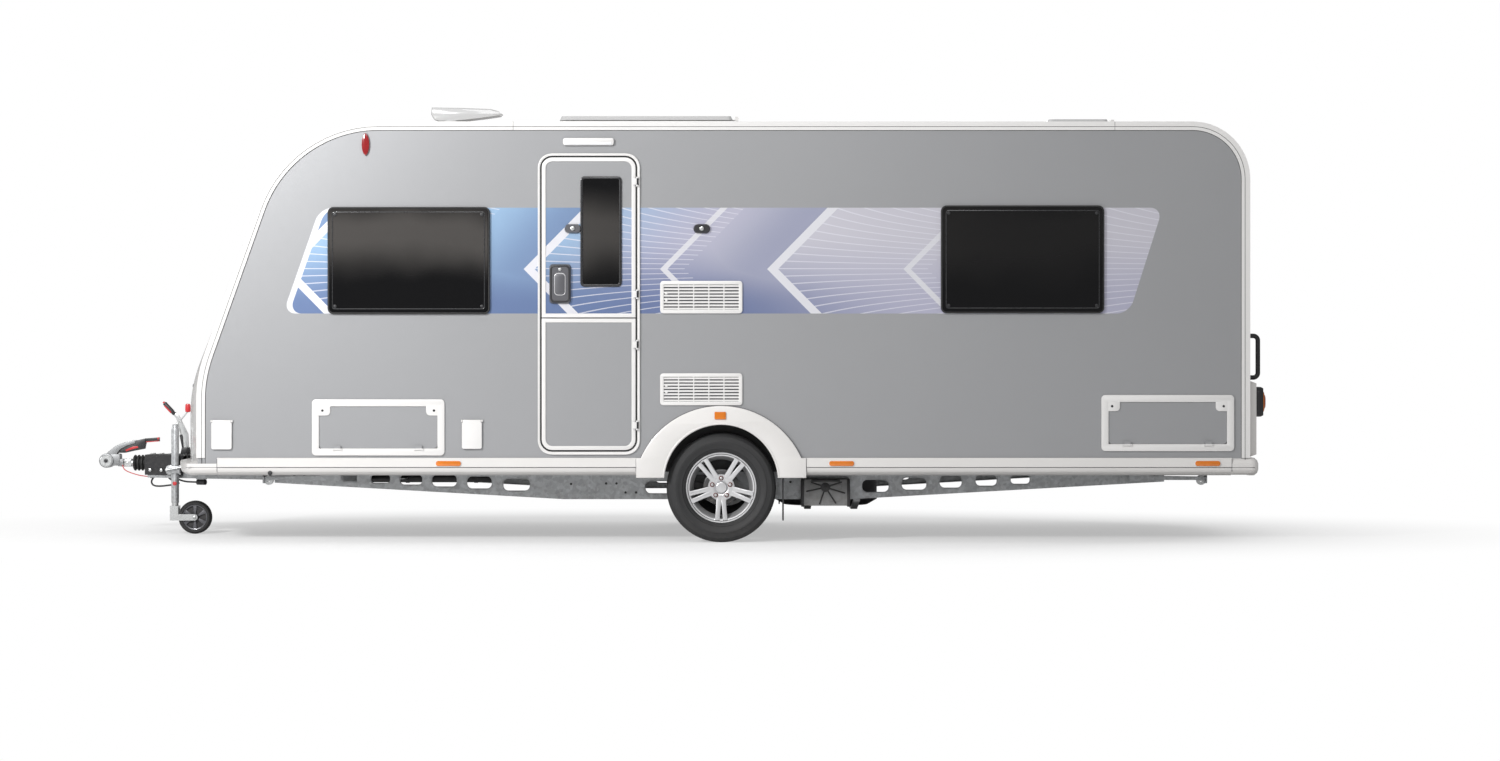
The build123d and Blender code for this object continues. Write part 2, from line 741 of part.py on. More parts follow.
# Wheel boxes above the floor, and the mud flaps behind the wheels
with BuildPart() as wheel_boxes:
    for side in (NEAR, FAR):
        depth = INNER - BOX_INNER_Y
        for radius, wall, mode in [
            (ARCH_RADIUS + BOX_WALL, 0, Mode.ADD),
            (ARCH_RADIUS, BOX_WALL, Mode.SUBTRACT),
        ]:
            with BuildSketch(side_plane(side, INNER)):
                with Locations((AXLE_X, ARCH_Z)):
                    Circle(radius)
                with Locations((AXLE_X, FLOOR_Z)):
                    Rectangle(2 * radius, 2 * (FLOOR_Z - ARCH_Z))
                with Locations((AXLE_X, FLOOR_Z - radius)):
                    Rectangle(4 * radius, 2 * radius, mode=Mode.SUBTRACT)
            extrude(amount=outwards(side, wall - depth), mode=mode)
        with BuildSketch(Plane.YZ.offset(MUD_FLAP_X)):
            with Locations((side * WHEEL_Y, (MUD_FLAP_BOTTOM + FLOOR_Z) / 2)):
                RectangleRounded(TYRE_WIDTH - 20, FLOOR_Z - MUD_FLAP_BOTTOM, CORNER)
        extrude(amount=MUD_FLAP_THICK)
wheel_boxes.part.label = "wheel_boxes"
export_step(wheel_boxes.part, "parts/wheel_boxes.step")

# Awning rails: an angle that wraps each side wall's edge
with BuildPart() as awning_rails:
    for side in (NEAR, FAR):
        for start, depth, inner_offset in [
            (HALF_WIDTH, RAIL_PROUD, -RAIL_WIDTH),
            (INNER, WALL + RAIL_PROUD, 0),
        ]:
            with BuildSketch(side_plane(side, start)):
                outside = side_corners(RAIL_LIP, SKIRT_TOP)
                inside = side_corners(inner_offset, SKIRT_TOP)
                with BuildLine():
                    FilletPolyline(*outside, radius=side_radii(RAIL_LIP))
                    FilletPolyline(*inside, radius=side_radii(inner_offset))
                    Line(outside[0], inside[0])
                    Line(outside[-1], inside[-1])
                make_face()
            extrude(amount=outwards(side, depth))
awning_rails.part.label = "awning_rails"
export_step(awning_rails.part, "parts/awning_rails.step")


def skirt_section(side):
    """Section across a side skirt: a pressed groove, the round lower edge and the return below."""
    outer = HALF_WIDTH + SKIRT_PROUD
    points = [
        (HALF_WIDTH, SKIRT_TOP),
        (outer - 7, SKIRT_TOP),
        (outer, SKIRT_TOP - 8),
        (outer, GROOVE_Z + 3),
        (outer - 4, GROOVE_Z),
        (outer, GROOVE_Z - 3),
        (outer - 5, GROOVE_Z - 26),
        (outer - 16, GROOVE_Z - 39),
        (outer - 34, SKIRT_BOTTOM),
        (INNER + 3, SKIRT_BOTTOM),
        (INNER + 3, WALL_BOTTOM),
        (HALF_WIDTH, WALL_BOTTOM),
    ]
    return [(side * y, z) for y, z in points]


def rounded_band(outline):
    """Band of the skirts' height on this outline, drawn in by steps at its top and bottom."""
    drawn_in = sum(height for height, _ in MOULDING_STEPS)
    with BuildPart() as band:
        with BuildSketch(Plane.XY.offset(SKIRT_BOTTOM + drawn_in)):
            add(outline)
        extrude(amount=SKIRT_TOP - SKIRT_BOTTOM - 2 * drawn_in)
        for end in (0, -1):
            for height, taper in MOULDING_STEPS:
                extrude(band.faces().sort_by(Axis.Z)[end], amount=height, taper=taper)
    return band.part


# Skirts along the sides, the bowed front moulding and the rear bumper
with BuildPart() as skirts:
    for side in (NEAR, FAR):
        for x0, x1 in [(SKIRT_FRONT, SPAT_FRONT), (SPAT_REAR, SKIRT_REAR)]:
            with BuildSketch(Plane.YZ.offset(x0)):
                with BuildLine():
                    Polyline(*skirt_section(side), close=True)
                make_face()
            extrude(amount=x1 - x0)
    outer_y = HALF_WIDTH + SKIRT_PROUD
    outer_x = FRONT_X - MOULDING_PROUD
    inner_x = FRONT_X - FIT
    with BuildSketch(mode=Mode.PRIVATE) as nose:
        with BuildLine():
            ThreePointArc((outer_x, -outer_y), (outer_x - BOW_LOW, 0), (outer_x, outer_y))
            Polyline(
                (outer_x, outer_y), (BULKHEAD_X, outer_y), (BULKHEAD_X, -outer_y), (outer_x, -outer_y)
            )
        make_face()
        fillet(nose.vertices().group_by(Axis.X)[0], NOSE_CORNER)
    with BuildSketch(mode=Mode.PRIVATE) as bumper:
        with Locations(((REAR_SPLIT + BUMPER_X) / 2, 0)):
            Rectangle(BUMPER_X - REAR_SPLIT, 2 * outer_y)
        fillet(bumper.vertices().group_by(Axis.X)[-1], BUMPER_CORNER)
    with BuildPart(mode=Mode.PRIVATE) as ends:
        add(rounded_band(nose.sketch))
        add(rounded_band(bumper.sketch))
        with BuildSketch(Plane.XY.offset(SKIRT_BOTTOM)):
            with BuildLine():
                ThreePointArc((inner_x, -INNER), (inner_x - BOW_LOW, 0), (inner_x, INNER))
                Polyline(
                    (inner_x, INNER),
                    (inner_x, HALF_WIDTH),
                    (REAR_X, HALF_WIDTH),
                    (REAR_X, -HALF_WIDTH),
                    (inner_x, -HALF_WIDTH),
                    (inner_x, -INNER),
                )
            make_face()
            with Locations(((SKIRT_FRONT + SKIRT_REAR) / 2, 0)):
                Rectangle(SKIRT_REAR - SKIRT_FRONT, 3 * outer_y)
        extrude(amount=SKIRT_TOP - SKIRT_BOTTOM, mode=Mode.SUBTRACT)
    add(ends.part)
skirts.part.label = "skirts"
export_step(skirts.part, "parts/skirts.step")

# Wheel-arch spats
with BuildPart() as wheel_spats:
    for side in (NEAR, FAR):
        with BuildSketch(side_plane(side, HALF_WIDTH)):
            with Locations((AXLE_X, SPAT_CENTRE_Z)):
                Circle(SPAT_RADIUS)
            with Locations((AXLE_X, SKIRT_TOP - SPAT_RADIUS)):
                Rectangle(4 * SPAT_RADIUS, 2 * SPAT_RADIUS, mode=Mode.SUBTRACT)
            with Locations(((SPAT_FRONT + SPAT_REAR) / 2, (SPAT_BOTTOM + SKIRT_TOP) / 2)):
                Rectangle(SPAT_REAR - SPAT_FRONT, SKIRT_TOP - SPAT_BOTTOM)
            with Locations((AXLE_X, ARCH_Z)):
                Circle(SPAT_OPENING, mode=Mode.SUBTRACT)
        extrude(amount=outwards(side, SPAT_DEPTH), taper=12)
wheel_spats.part.label = "wheel_spats"
export_step(wheel_spats.part, "parts/wheel_spats.step")

# Rear lower moulding with its number-plate recess
with BuildPart() as rear_moulding:
    with BuildSketch(Plane.YZ.offset(REAR_X)):
        with Locations((0, (SKIRT_TOP + REAR_MOULDING_TOP) / 2)):
            RectangleRounded(2 * (INNER - FIT), REAR_MOULDING_TOP - SKIRT_TOP, CORNER)
    extrude(amount=REAR_MOULDING_X - REAR_X, taper=20)
    with BuildSketch(Plane.YZ.offset(REAR_MOULDING_X)):
        with Locations((0, (SKIRT_TOP + REAR_MOULDING_TOP) / 2)):
            Rectangle(PLATE_RECESS[0], PLATE_RECESS[1])
    extrude(amount=-PLATE_RECESS[2], mode=Mode.SUBTRACT)
rear_moulding.part.label = "rear_moulding"
export_step(rear_moulding.part, "parts/rear_moulding.step")

# Door frame
with BuildPart() as door_frame:
    inner = grown(DOOR_LEAF, GAP)
    with BuildSketch(side_plane(NEAR, HALF_WIDTH)):
        window_shape(DOOR_FRAME, DOOR_RADIUS + GAP + LINING)
        cut_shape(inner, DOOR_RADIUS + GAP)
    extrude(amount=10)
    with BuildSketch(side_plane(NEAR, INNER)):
        window_shape(grown(inner, LINING - FIT), DOOR_RADIUS + GAP + LINING)
        cut_shape(inner, DOOR_RADIUS + GAP)
    extrude(amount=WALL)
    for levels in DOOR_HINGE_LEVELS.values():
        for level in levels:
            add(hinge_lugs(door_hinge_plane(level), "door"))
door_frame.part.label = "door_frame"
export_step(door_frame.part, "parts/door_frame.step")

# Door leaves: one outline, divided at the split
leaf_halves = {
    "door_lower": (DOOR_LEAF[2], DOOR_SPLIT - GAP / 2),
    "door_upper": (DOOR_SPLIT + GAP / 2, DOOR_LEAF[3]),
}
for name, (low, high) in leaf_halves.items():
    with BuildPart() as leaf:
        with BuildSketch(side_plane(NEAR, HALF_WIDTH + LEAF_PROUD)):
            window_shape(DOOR_LEAF, DOOR_RADIUS)
            cut_shape(DOOR_WINDOW, DOOR_GLASS_RADIUS)
            with Locations(((DOOR_LEAF[0] + DOOR_LEAF[1]) / 2, (low + high) / 2)):
                Rectangle(DOOR_LEAF[1] - DOOR_LEAF[0], high - low, mode=Mode.INTERSECT)
        extrude(amount=-LEAF_THICK)
        for level in DOOR_HINGE_LEVELS[name]:
            add(hinge_barrel(door_hinge_plane(level), "door"))
    leaf.part.label = name
    export_step(leaf.part, f"parts/{name}.step")

with BuildPart() as door_window:
    with BuildSketch(side_plane(NEAR, HALF_WIDTH + LEAF_PROUD - LEAF_THICK)):
        window_shape(DOOR_WINDOW, DOOR_GLASS_RADIUS, FIT)
    extrude(amount=LEAF_THICK + 6)
door_window.part.label = "door_window"
export_step(door_window.part, "parts/door_window.step")

with BuildPart() as door_handle:
    with BuildSketch(side_plane(NEAR, HALF_WIDTH + LEAF_PROUD)):
        window_shape(DOOR_HANDLE, CORNER)
        with Locations((RETAINER_X, RETAINER_Z)):
            RectangleRounded(*RETAINER_SIZE)
    extrude(amount=20, taper=15)
door_handle.part.label = "door_handle"
export_step(door_handle.part, "parts/door_handle.step")

# Frames of the hatches and recessed boxes behind the inlet flaps
with BuildPart() as hatch_frames:
    for side, hatch in [(NEAR, NEAR_LOCKERS["front"]), (NEAR, NEAR_LOCKERS["rear"]), (FAR, SERVICE_HATCH)]:
        inner = grown(hatch, GAP)
        with BuildSketch(side_plane(side, HALF_WIDTH)):
            window_shape(grown(hatch, LOCKER_FRAME), CORNER * 2)
            cut_shape(inner, CORNER + GAP)
        extrude(amount=outwards(side, LOCKER_RING))
        with BuildSketch(side_plane(side, INNER)):
            window_shape(grown(inner, LINING - FIT), CORNER + GAP + LINING)
            cut_shape(inner, CORNER + GAP)
        extrude(amount=outwards(side, WALL))
        for plane in hatch_hinge_planes(side, hatch):
            add(hinge_lugs(plane, "hatch"))
    for flap in NEAR_FLAPS.values():
        opening = grown(flap, -INLET_RIM - FIT)
        with BuildSketch(side_plane(NEAR, HALF_WIDTH)):
            window_shape(opening, CORNER / 2)
        extrude(amount=-INLET_DEPTH)
        with BuildSketch(side_plane(NEAR, HALF_WIDTH)):
            window_shape(grown(opening, -INLET_WALL), CORNER / 4)
        extrude(amount=INLET_WALL - INLET_DEPTH, mode=Mode.SUBTRACT)
        flap_y = -HALF_WIDTH - FLAP_GAP - FLAP_THICK / 2
        flap_z = flap[3] - FLAP_HINGE_DROP
        for end_x, way in [(flap[0], -1), (flap[1], 1)]:
            with BuildSketch(Plane.YZ.offset(end_x + way * FLAP_LUG_GAP)):
                with Locations((flap_y + FLAP_GAP / 2, flap_z)):
                    Rectangle(FLAP_THICK + FLAP_GAP, 2 * FLAP_HINGE_DROP)
            extrude(amount=way * LUG_LENGTH)
            with BuildSketch(Plane.YZ.offset(end_x + way * (FLAP_LUG_GAP + LUG_LENGTH))):
                with Locations((flap_y, flap_z)):
                    Circle(FLAP_PIN)
            extrude(amount=-way * (FLAP_LUG_GAP + LUG_LENGTH + FLAP_PIN_REACH))
hatch_frames.part.label = "hatch_frames"
export_step(hatch_frames.part, "parts/hatch_frames.step")

# Locker doors and the service hatch
hatch_leaves = [
    (NEAR, "locker_door_front", NEAR_LOCKERS["front"]),
    (NEAR, "locker_door_rear", NEAR_LOCKERS["rear"]),
    (FAR, "service_hatch", SERVICE_HATCH),
]
for side, name, edges in hatch_leaves:
    with BuildPart() as hatch_leaf:
        with BuildSketch(side_plane(side, HALF_WIDTH + 4)):
            window_shape(edges, CORNER)
        extrude(amount=outwards(side, -WALL - 4))
        for plane in hatch_hinge_planes(side, edges):
            add(hinge_barrel(plane, "hatch"))
    hatch_leaf.part.label = name
    export_step(hatch_leaf.part, f"parts/{name}.step")

for name, edges in NEAR_FLAPS.items():
    with BuildPart() as flap:
        with BuildSketch(side_plane(NEAR, HALF_WIDTH + FLAP_GAP)):
            window_shape(edges, CORNER / 2)
        extrude(amount=FLAP_THICK, taper=10)
        for end_x, way in [(edges[0], 1), (edges[1], -1)]:
            with BuildSketch(Plane.YZ.offset(end_x)):
                with Locations((-HALF_WIDTH - FLAP_GAP - FLAP_THICK / 2, edges[3] - FLAP_HINGE_DROP)):
                    Circle(FLAP_PIN + RUNNING_FIT)
            extrude(amount=way * (FLAP_PIN_REACH + FIT), mode=Mode.SUBTRACT)
    flap.part.label = f"inlet_flap_{name}"
    export_step(flap.part, f"parts/inlet_flap_{name}.step")

# Louvred refrigerator vents
with BuildPart() as fridge_vents:
    for vent in VENTS:
        with BuildSketch(side_plane(NEAR, HALF_WIDTH)):
            window_shape(vent, CORNER)
            columns, rows = VENT_SLOTS
            pitch_x = (vent[1] - vent[0] - 2 * VENT_MARGIN + VENT_BAR) / columns
            pitch_z = (vent[3] - vent[2] - 2 * VENT_MARGIN + VENT_BAR) / rows
            with Locations(((vent[0] + vent[1]) / 2, (vent[2] + vent[3]) / 2)):
                with GridLocations(pitch_x, pitch_z, columns, rows):
                    Rectangle(pitch_x - VENT_BAR, pitch_z - VENT_BAR, mode=Mode.SUBTRACT)
        extrude(amount=VENT_THICK)
fridge_vents.part.label = "fridge_vents"
export_step(fridge_vents.part, "parts/fridge_vents.step")

# Rooflight frames and lids
with BuildPart() as rooflight_frames:
    for x0, x1, half in ROOFLIGHTS.values():
        with BuildSketch(Plane.XY.offset(ROOF_Z - WALL)):
            with Locations(((x0 + x1) / 2, 0)):
                RectangleRounded(x1 - x0, 2 * half, CORNER * 2)
                RectangleRounded(
                    x1 - x0 - 2 * ROOFLIGHT_RING - 2 * LINING,
                    2 * half - 2 * ROOFLIGHT_RING - 2 * LINING,
                    CORNER,
                    mode=Mode.SUBTRACT,
                )
        extrude(amount=ROOFLIGHT_FRAME_TOP - ROOF_Z + WALL)
        with BuildSketch(Plane.XY.offset(ROOFLIGHT_FRAME_TOP)):
            with Locations((x1 - ROOFLIGHT_STRIP / 2, 0)):
                Rectangle(ROOFLIGHT_STRIP, 2 * half - 4 * CORNER)
        extrude(amount=ROOFLIGHT_LID_TOP - ROOFLIGHT_FRAME_TOP)
        for plane in rooflight_hinge_planes(x1, half):
            add(hinge_lugs(plane, "rooflight"))
rooflight_frames_part = rooflight_frames.part - roof_panel.part
rooflight_frames_part = Compound(
    children=[
        solid
        for solid in rooflight_frames_part.solids()
        if solid.bounding_box().max.Z > ROOF_Z + CROWN
    ]
)
rooflight_frames_part.label = "rooflight_frames"
export_step(rooflight_frames_part, "parts/rooflight_frames.step")

for name, (x0, x1, half) in ROOFLIGHTS.items():
    lid_end = x1 - ROOFLIGHT_STRIP - 12
    lid_low = ROOFLIGHT_FRAME_TOP + 5
    with BuildPart() as rooflight_lid:
        with BuildSketch(Plane.XY.offset(lid_low)):
            with Locations(((x0 + lid_end) / 2, 0)):
                RectangleRounded(lid_end - x0, 2 * half, CORNER * 2)
        extrude(amount=ROOFLIGHT_LID_TOP - lid_low, taper=25)
        for plane in rooflight_hinge_planes(x1, half):
            add(hinge_barrel(plane, "rooflight"))
    rooflight_lid.part.label = f"rooflight_lid_{name}"
    export_step(rooflight_lid.part, f"parts/rooflight_lid_{name}.step")

# Aerial: a wedge on a low round base
with BuildPart() as aerial:
    with BuildSketch(Plane.XZ.offset(-AERIAL_Y - AERIAL_WIDTH / 2)):
        with BuildLine():
            Polyline(
                (AERIAL_FRONT, AERIAL_TOP - 70),
                (AERIAL_FRONT, AERIAL_TOP),
                (AERIAL_REAR, AERIAL_TOP - AERIAL_DROP),
                (AERIAL_REAR, AERIAL_TOP - AERIAL_DROP - 22),
                close=True,
            )
        make_face()
    extrude(amount=AERIAL_WIDTH)
    with BuildSketch(Plane.XY.offset(ROOF_Z)):
        with Locations((AERIAL_FRONT + 150, AERIAL_Y)):
            Circle(40)
    extrude(amount=AERIAL_TOP - ROOF_Z - 60)
aerial_part = aerial.part - roof_panel.part
aerial_part = Compound(
    children=[solid for solid in aerial_part.solids() if solid.bounding_box().max.Z > ROOF_Z + CROWN]
)
aerial_part.label = "aerial"
export_step(aerial_part, "parts/aerial.step")

# Black fittings at the rear: grab handles and lamp housings, and the door's catch on the wall
with BuildPart() as black_fittings:
    for side in (NEAR, FAR):
        grab_x = REAR_X + GRAB_OUT - GRAB_RADIUS
        with BuildLine() as grab_line:
            FilletPolyline(
                (REAR_X, side * GRAB_Y, GRAB_BOTTOM),
                (grab_x, side * GRAB_Y, GRAB_BOTTOM),
                (grab_x, side * GRAB_Y, GRAB_TOP),
                (REAR_X, side * GRAB_Y, GRAB_TOP),
                radius=28,
            )
        with BuildSketch(Plane(origin=grab_line.line @ 0, z_dir=grab_line.line % 0)):
            Circle(GRAB_RADIUS)
        sweep(path=grab_line.line)
        with BuildSketch(Plane.YZ.offset(REAR_MOULDING_X)):
            with Locations((side * sum(REAR_LAMP_Y) / 2, sum(REAR_LAMP) / 2)):
                RectangleRounded(REAR_LAMP_Y[1] - REAR_LAMP_Y[0], REAR_LAMP[1] - REAR_LAMP[0], CORNER)
        extrude(amount=REAR_LAMP_X - REAR_MOULDING_X, taper=8)
    with BuildSketch(side_plane(NEAR, HALF_WIDTH)):
        with Locations((2 * HINGE_X - RETAINER_X, RETAINER_Z)):
            RectangleRounded(*RETAINER_SIZE)
    extrude(amount=18, taper=15)
black_fittings.part.label = "black_fittings"
export_step(black_fittings.part, "parts/black_fittings.step")

# Lamp lenses: side markers, arch reflectors, front markers, awning lamp, rear clusters, high lamp
with BuildPart() as lamps:
    for side in (NEAR, FAR):
        for x0, x1 in AMBER_MARKERS:
            with BuildSketch(side_plane(side, HALF_WIDTH + SKIRT_PROUD)):
                window_shape((x0, x1, GROOVE_Z + 4, GROOVE_Z + 40), 6)
            extrude(amount=outwards(side, MARKER_DEPTH), taper=10)
        with BuildSketch(side_plane(side, HALF_WIDTH + SPAT_DEPTH)):
            window_shape(ARCH_REFLECTOR, 4)
        extrude(amount=outwards(side, MARKER_DEPTH), taper=10)
        with BuildSketch(side_plane(side, HALF_WIDTH)):
            window_shape(HIGH_MARKER, 18)
        extrude(amount=outwards(side, 2 * MARKER_DEPTH), taper=10)
        with BuildSketch(Plane.YZ.offset(REAR_LAMP_X)):
            with Locations((side * sum(REAR_LAMP_Y) / 2, sum(REAR_LAMP) / 2)):
                RectangleRounded(REAR_LAMP_Y[1] - REAR_LAMP_Y[0] - 60, 88, CORNER)
        extrude(amount=REAR_LENS_X - REAR_LAMP_X, taper=15)
    with BuildSketch(side_plane(NEAR, HALF_WIDTH)):
        window_shape(AWNING_LAMP, 16)
    extrude(amount=AWNING_LAMP_DEPTH, taper=15)
    with BuildSketch(Plane.YZ.offset(REAR_X)):
        window_shape(HIGH_LAMP, 15)
    extrude(amount=HIGH_LAMP_DEPTH, taper=15)
lamps.part.label = "lamps"
export_step(lamps.part, "parts/lamps.step")


def chassis_edge_z(x):
    """Height of the chassis rail's lower edge at this x."""
    for (x0, z0), (x1, z1) in zip(CHASSIS_EDGE, CHASSIS_EDGE[1:]):
        if x0 <= x <= x1:
            return z0 + (z1 - z0) * (x - x0) / (x1 - x0)
    raise ValueError("outside the chassis rail")


# Chassis rails: a pressed channel, deep at the axle, with lightening holes
with BuildPart() as chassis_rails:
    for side in (NEAR, FAR):
        first, last = CHASSIS_EDGE[0], CHASSIS_EDGE[-1]
        with BuildSketch(side_plane(side, CHASSIS_Y)):
            with BuildLine():
                Polyline(*CHASSIS_EDGE, (last[0], FLOOR_Z), (first[0], FLOOR_Z), close=True)
            make_face()
            for hole_x, width in CHASSIS_HOLES:
                low = chassis_edge_z(hole_x) + HOLE_MARGIN_LOW
                high = min(low + HOLE_HEIGHT, FLOOR_Z - HOLE_MARGIN_TOP)
                with Locations((hole_x, (low + high) / 2)):
                    RectangleRounded(width, high - low, 0.42 * (high - low), mode=Mode.SUBTRACT)
            with Locations((AXLE_TUBE_X, AXLE_TUBE_Z)):
                RegularPolygon(AXLE_TUBE_RADIUS + FIT, 6, mode=Mode.SUBTRACT)
        extrude(amount=outwards(side, SHEET))
        with BuildSketch(side_plane(side, CHASSIS_Y)):
            with BuildLine():
                raised = [(x, z + SHEET) for x, z in reversed(CHASSIS_EDGE)]
                Polyline(*CHASSIS_EDGE, *raised, close=True)
            make_face()
            with Locations(((first[0] + last[0]) / 2, FLOOR_Z - SHEET / 2)):
                Rectangle(last[0] - first[0], SHEET)
        extrude(amount=outwards(side, -FLANGE))
chassis_rails.part.label = "chassis_rails"
export_step(chassis_rails.part, "parts/chassis_rails.step")


def drawbar_y(x):
    """Distance of the drawbar's middle from the centre line at this x."""
    return DRAWBAR_NOSE_Y + (x - DRAWBAR_NOSE_X) * (DRAWBAR_REAR_Y - DRAWBAR_NOSE_Y) / (
        DRAWBAR_REAR_X - DRAWBAR_NOSE_X
    )


drawbar_half = DRAWBAR_WIDTH / 2 * hypot(
    1, (DRAWBAR_REAR_Y - DRAWBAR_NOSE_Y) / (DRAWBAR_REAR_X - DRAWBAR_NOSE_X)
)

# Drawbars of the A-frame
for side, name in [(NEAR, "near"), (FAR, "far")]:
    with BuildPart() as drawbar:
        with BuildSketch(Plane.XY.offset(DRAWBAR_BOTTOM)):
            with BuildLine():
                Polyline(
                    (DRAWBAR_NOSE_X, side * (DRAWBAR_NOSE_Y - drawbar_half)),
                    (DRAWBAR_NOSE_X, side * (DRAWBAR_NOSE_Y + drawbar_half)),
                    (DRAWBAR_REAR_X, side * (DRAWBAR_REAR_Y + DRAWBAR_WIDTH / 2)),
                    (DRAWBAR_REAR_X, side * (DRAWBAR_REAR_Y - 2 * drawbar_half + DRAWBAR_WIDTH / 2)),
                    close=True,
                )
            make_face()
        extrude(amount=DRAWBAR_TOP - DRAWBAR_BOTTOM)
        with BuildSketch(Plane.XY.offset(DRAWBAR_BOTTOM)):
            with Locations((DRAWBAR_REAR_X - DRAWBAR_BRACKET / 2, side * (CHASSIS_Y + DRAWBAR_REAR_Y) / 2)):
                Rectangle(DRAWBAR_BRACKET, CHASSIS_Y - DRAWBAR_REAR_Y)
        extrude(amount=DRAWBAR_TOP - DRAWBAR_BOTTOM)
        if side == NEAR:
            lead_end = Vector(*LEAD_ROUTE[-1])
            lead_way = (lead_end - Vector(*LEAD_ROUTE[-2])).normalized()
            saddle = lead_end + lead_way * (PLUG_LENGTH / 2)
            saddle_z = saddle.Z + PLUG_RADIUS + FIT
            with BuildSketch(Plane(origin=(saddle.X, saddle.Y, saddle_z), x_dir=lead_way, z_dir=(0, 0, 1))):
                Rectangle(PLUG_LENGTH, 2 * PLUG_RADIUS)
            extrude(amount=DRAWBAR_BOTTOM - saddle_z)
    drawbar.part.label = f"drawbar_{name}"
    export_step(drawbar.part, f"parts/drawbar_{name}.step")

# Cross-members, spare-wheel straps and the brackets that carry the corner steadies
with BuildPart() as cross_members:
    for x in CROSS_MEMBER_X:
        with BuildSketch(Plane.YZ.offset(x)):
            with Locations((0, FLOOR_Z - SHEET - CROSS_MEMBER_SECTION / 2)):
                Rectangle(2 * CHASSIS_Y, CROSS_MEMBER_SECTION)
                Rectangle(
                    2 * CHASSIS_Y, CROSS_MEMBER_SECTION - 2 * SHEET, mode=Mode.SUBTRACT
                )
        extrude(amount=CROSS_MEMBER_SECTION)
        with BuildSketch(Plane.YZ.offset(x)):
            with Locations((0, FLOOR_Z - SHEET - CROSS_MEMBER_SECTION / 2)):
                Rectangle(2 * CHASSIS_Y, CROSS_MEMBER_SECTION)
        extrude(amount=SHEET)
    rail_bottom = CHASSIS_EDGE[1][1]
    for x in SPARE_STRAP_X:
        with BuildSketch(Plane.YZ.offset(x)):
            with BuildLine():
                low, high = SPARE_STRAP_Z, rail_bottom - SPARE_STRAP
                reach = CHASSIS_Y - FLANGE
                lower = [
                    (-CHASSIS_Y, high),
                    (-reach, high),
                    (-SPARE_STRAP_HALF, low),
                    (SPARE_STRAP_HALF, low),
                    (reach, high),
                    (CHASSIS_Y, high),
                ]
                upper = [(y, z + SPARE_STRAP) for y, z in reversed(lower)]
                Polyline(*lower, *upper, close=True)
            make_face()
        extrude(amount=40)
    for end, hinge_x in STEADY_HINGE.items():
        way = STEADY_WAY[end]
        for side in (NEAR, FAR):
            half = STEADY_WIDTH / 2 + FLAP_GAP / 5 + STEADY_SHEET
            x_near, x_far = hinge_x - way * 30, hinge_x + way * 90
            middle = (x_near + x_far) / 2
            with BuildSketch(Plane.XY.offset(STEADY_HINGE_Z - 18)):
                with Locations((middle, side * STEADY_Y)):
                    Rectangle(abs(x_far - x_near), 2 * half)
            extrude(amount=FLOOR_Z - STEADY_HINGE_Z + 18)
            with BuildSketch(Plane.XY.offset(STEADY_HINGE_Z - 18)):
                with Locations((middle, side * STEADY_Y)):
                    Rectangle(abs(x_far - x_near), 2 * (half - STEADY_SHEET))
            extrude(amount=FLOOR_Z - STEADY_HINGE_Z + 18 - STEADY_SHEET, mode=Mode.SUBTRACT)
            with BuildSketch(side_plane(side, STEADY_Y - half)):
                with Locations((hinge_x, STEADY_HINGE_Z)):
                    Circle(STEADY_PIN)
            extrude(amount=outwards(side, 2 * half))
cross_members.part.label = "cross_members"
export_step(cross_members.part, "parts/cross_members.step")

# Legs of the corner steadies
for end, hinge_x in STEADY_HINGE.items():
    way = STEADY_WAY[end]
    foot_x = hinge_x + way * STEADY_LENGTH
    for side, name in [(NEAR, "near"), (FAR, "far")]:
        with BuildPart() as steady:
            with BuildSketch(side_plane(side, STEADY_Y - STEADY_WIDTH / 2)):
                with Locations((hinge_x, STEADY_HINGE_Z)):
                    Circle(14)
                with BuildLine():
                    Polyline(
                        (hinge_x, STEADY_HINGE_Z - 14),
                        (foot_x, STEADY_HINGE_Z - 14),
                        (foot_x, STEADY_HINGE_Z + 6),
                        (hinge_x, STEADY_HINGE_Z + 14),
                        close=True,
                    )
                make_face()
                with Locations((hinge_x, STEADY_HINGE_Z)):
                    Circle(STEADY_PIN + RUNNING_FIT, mode=Mode.SUBTRACT)
            extrude(amount=outwards(side, STEADY_WIDTH))
            with BuildSketch(Plane.YZ.offset(foot_x)):
                with Locations((side * STEADY_Y, STEADY_HINGE_Z - 8)):
                    RectangleRounded(90, 50, 12)
            extrude(amount=way * 8)
        steady.part.label = f"steady_{end}_{name}"
        export_step(steady.part, f"parts/steady_{end}_{name}.step")

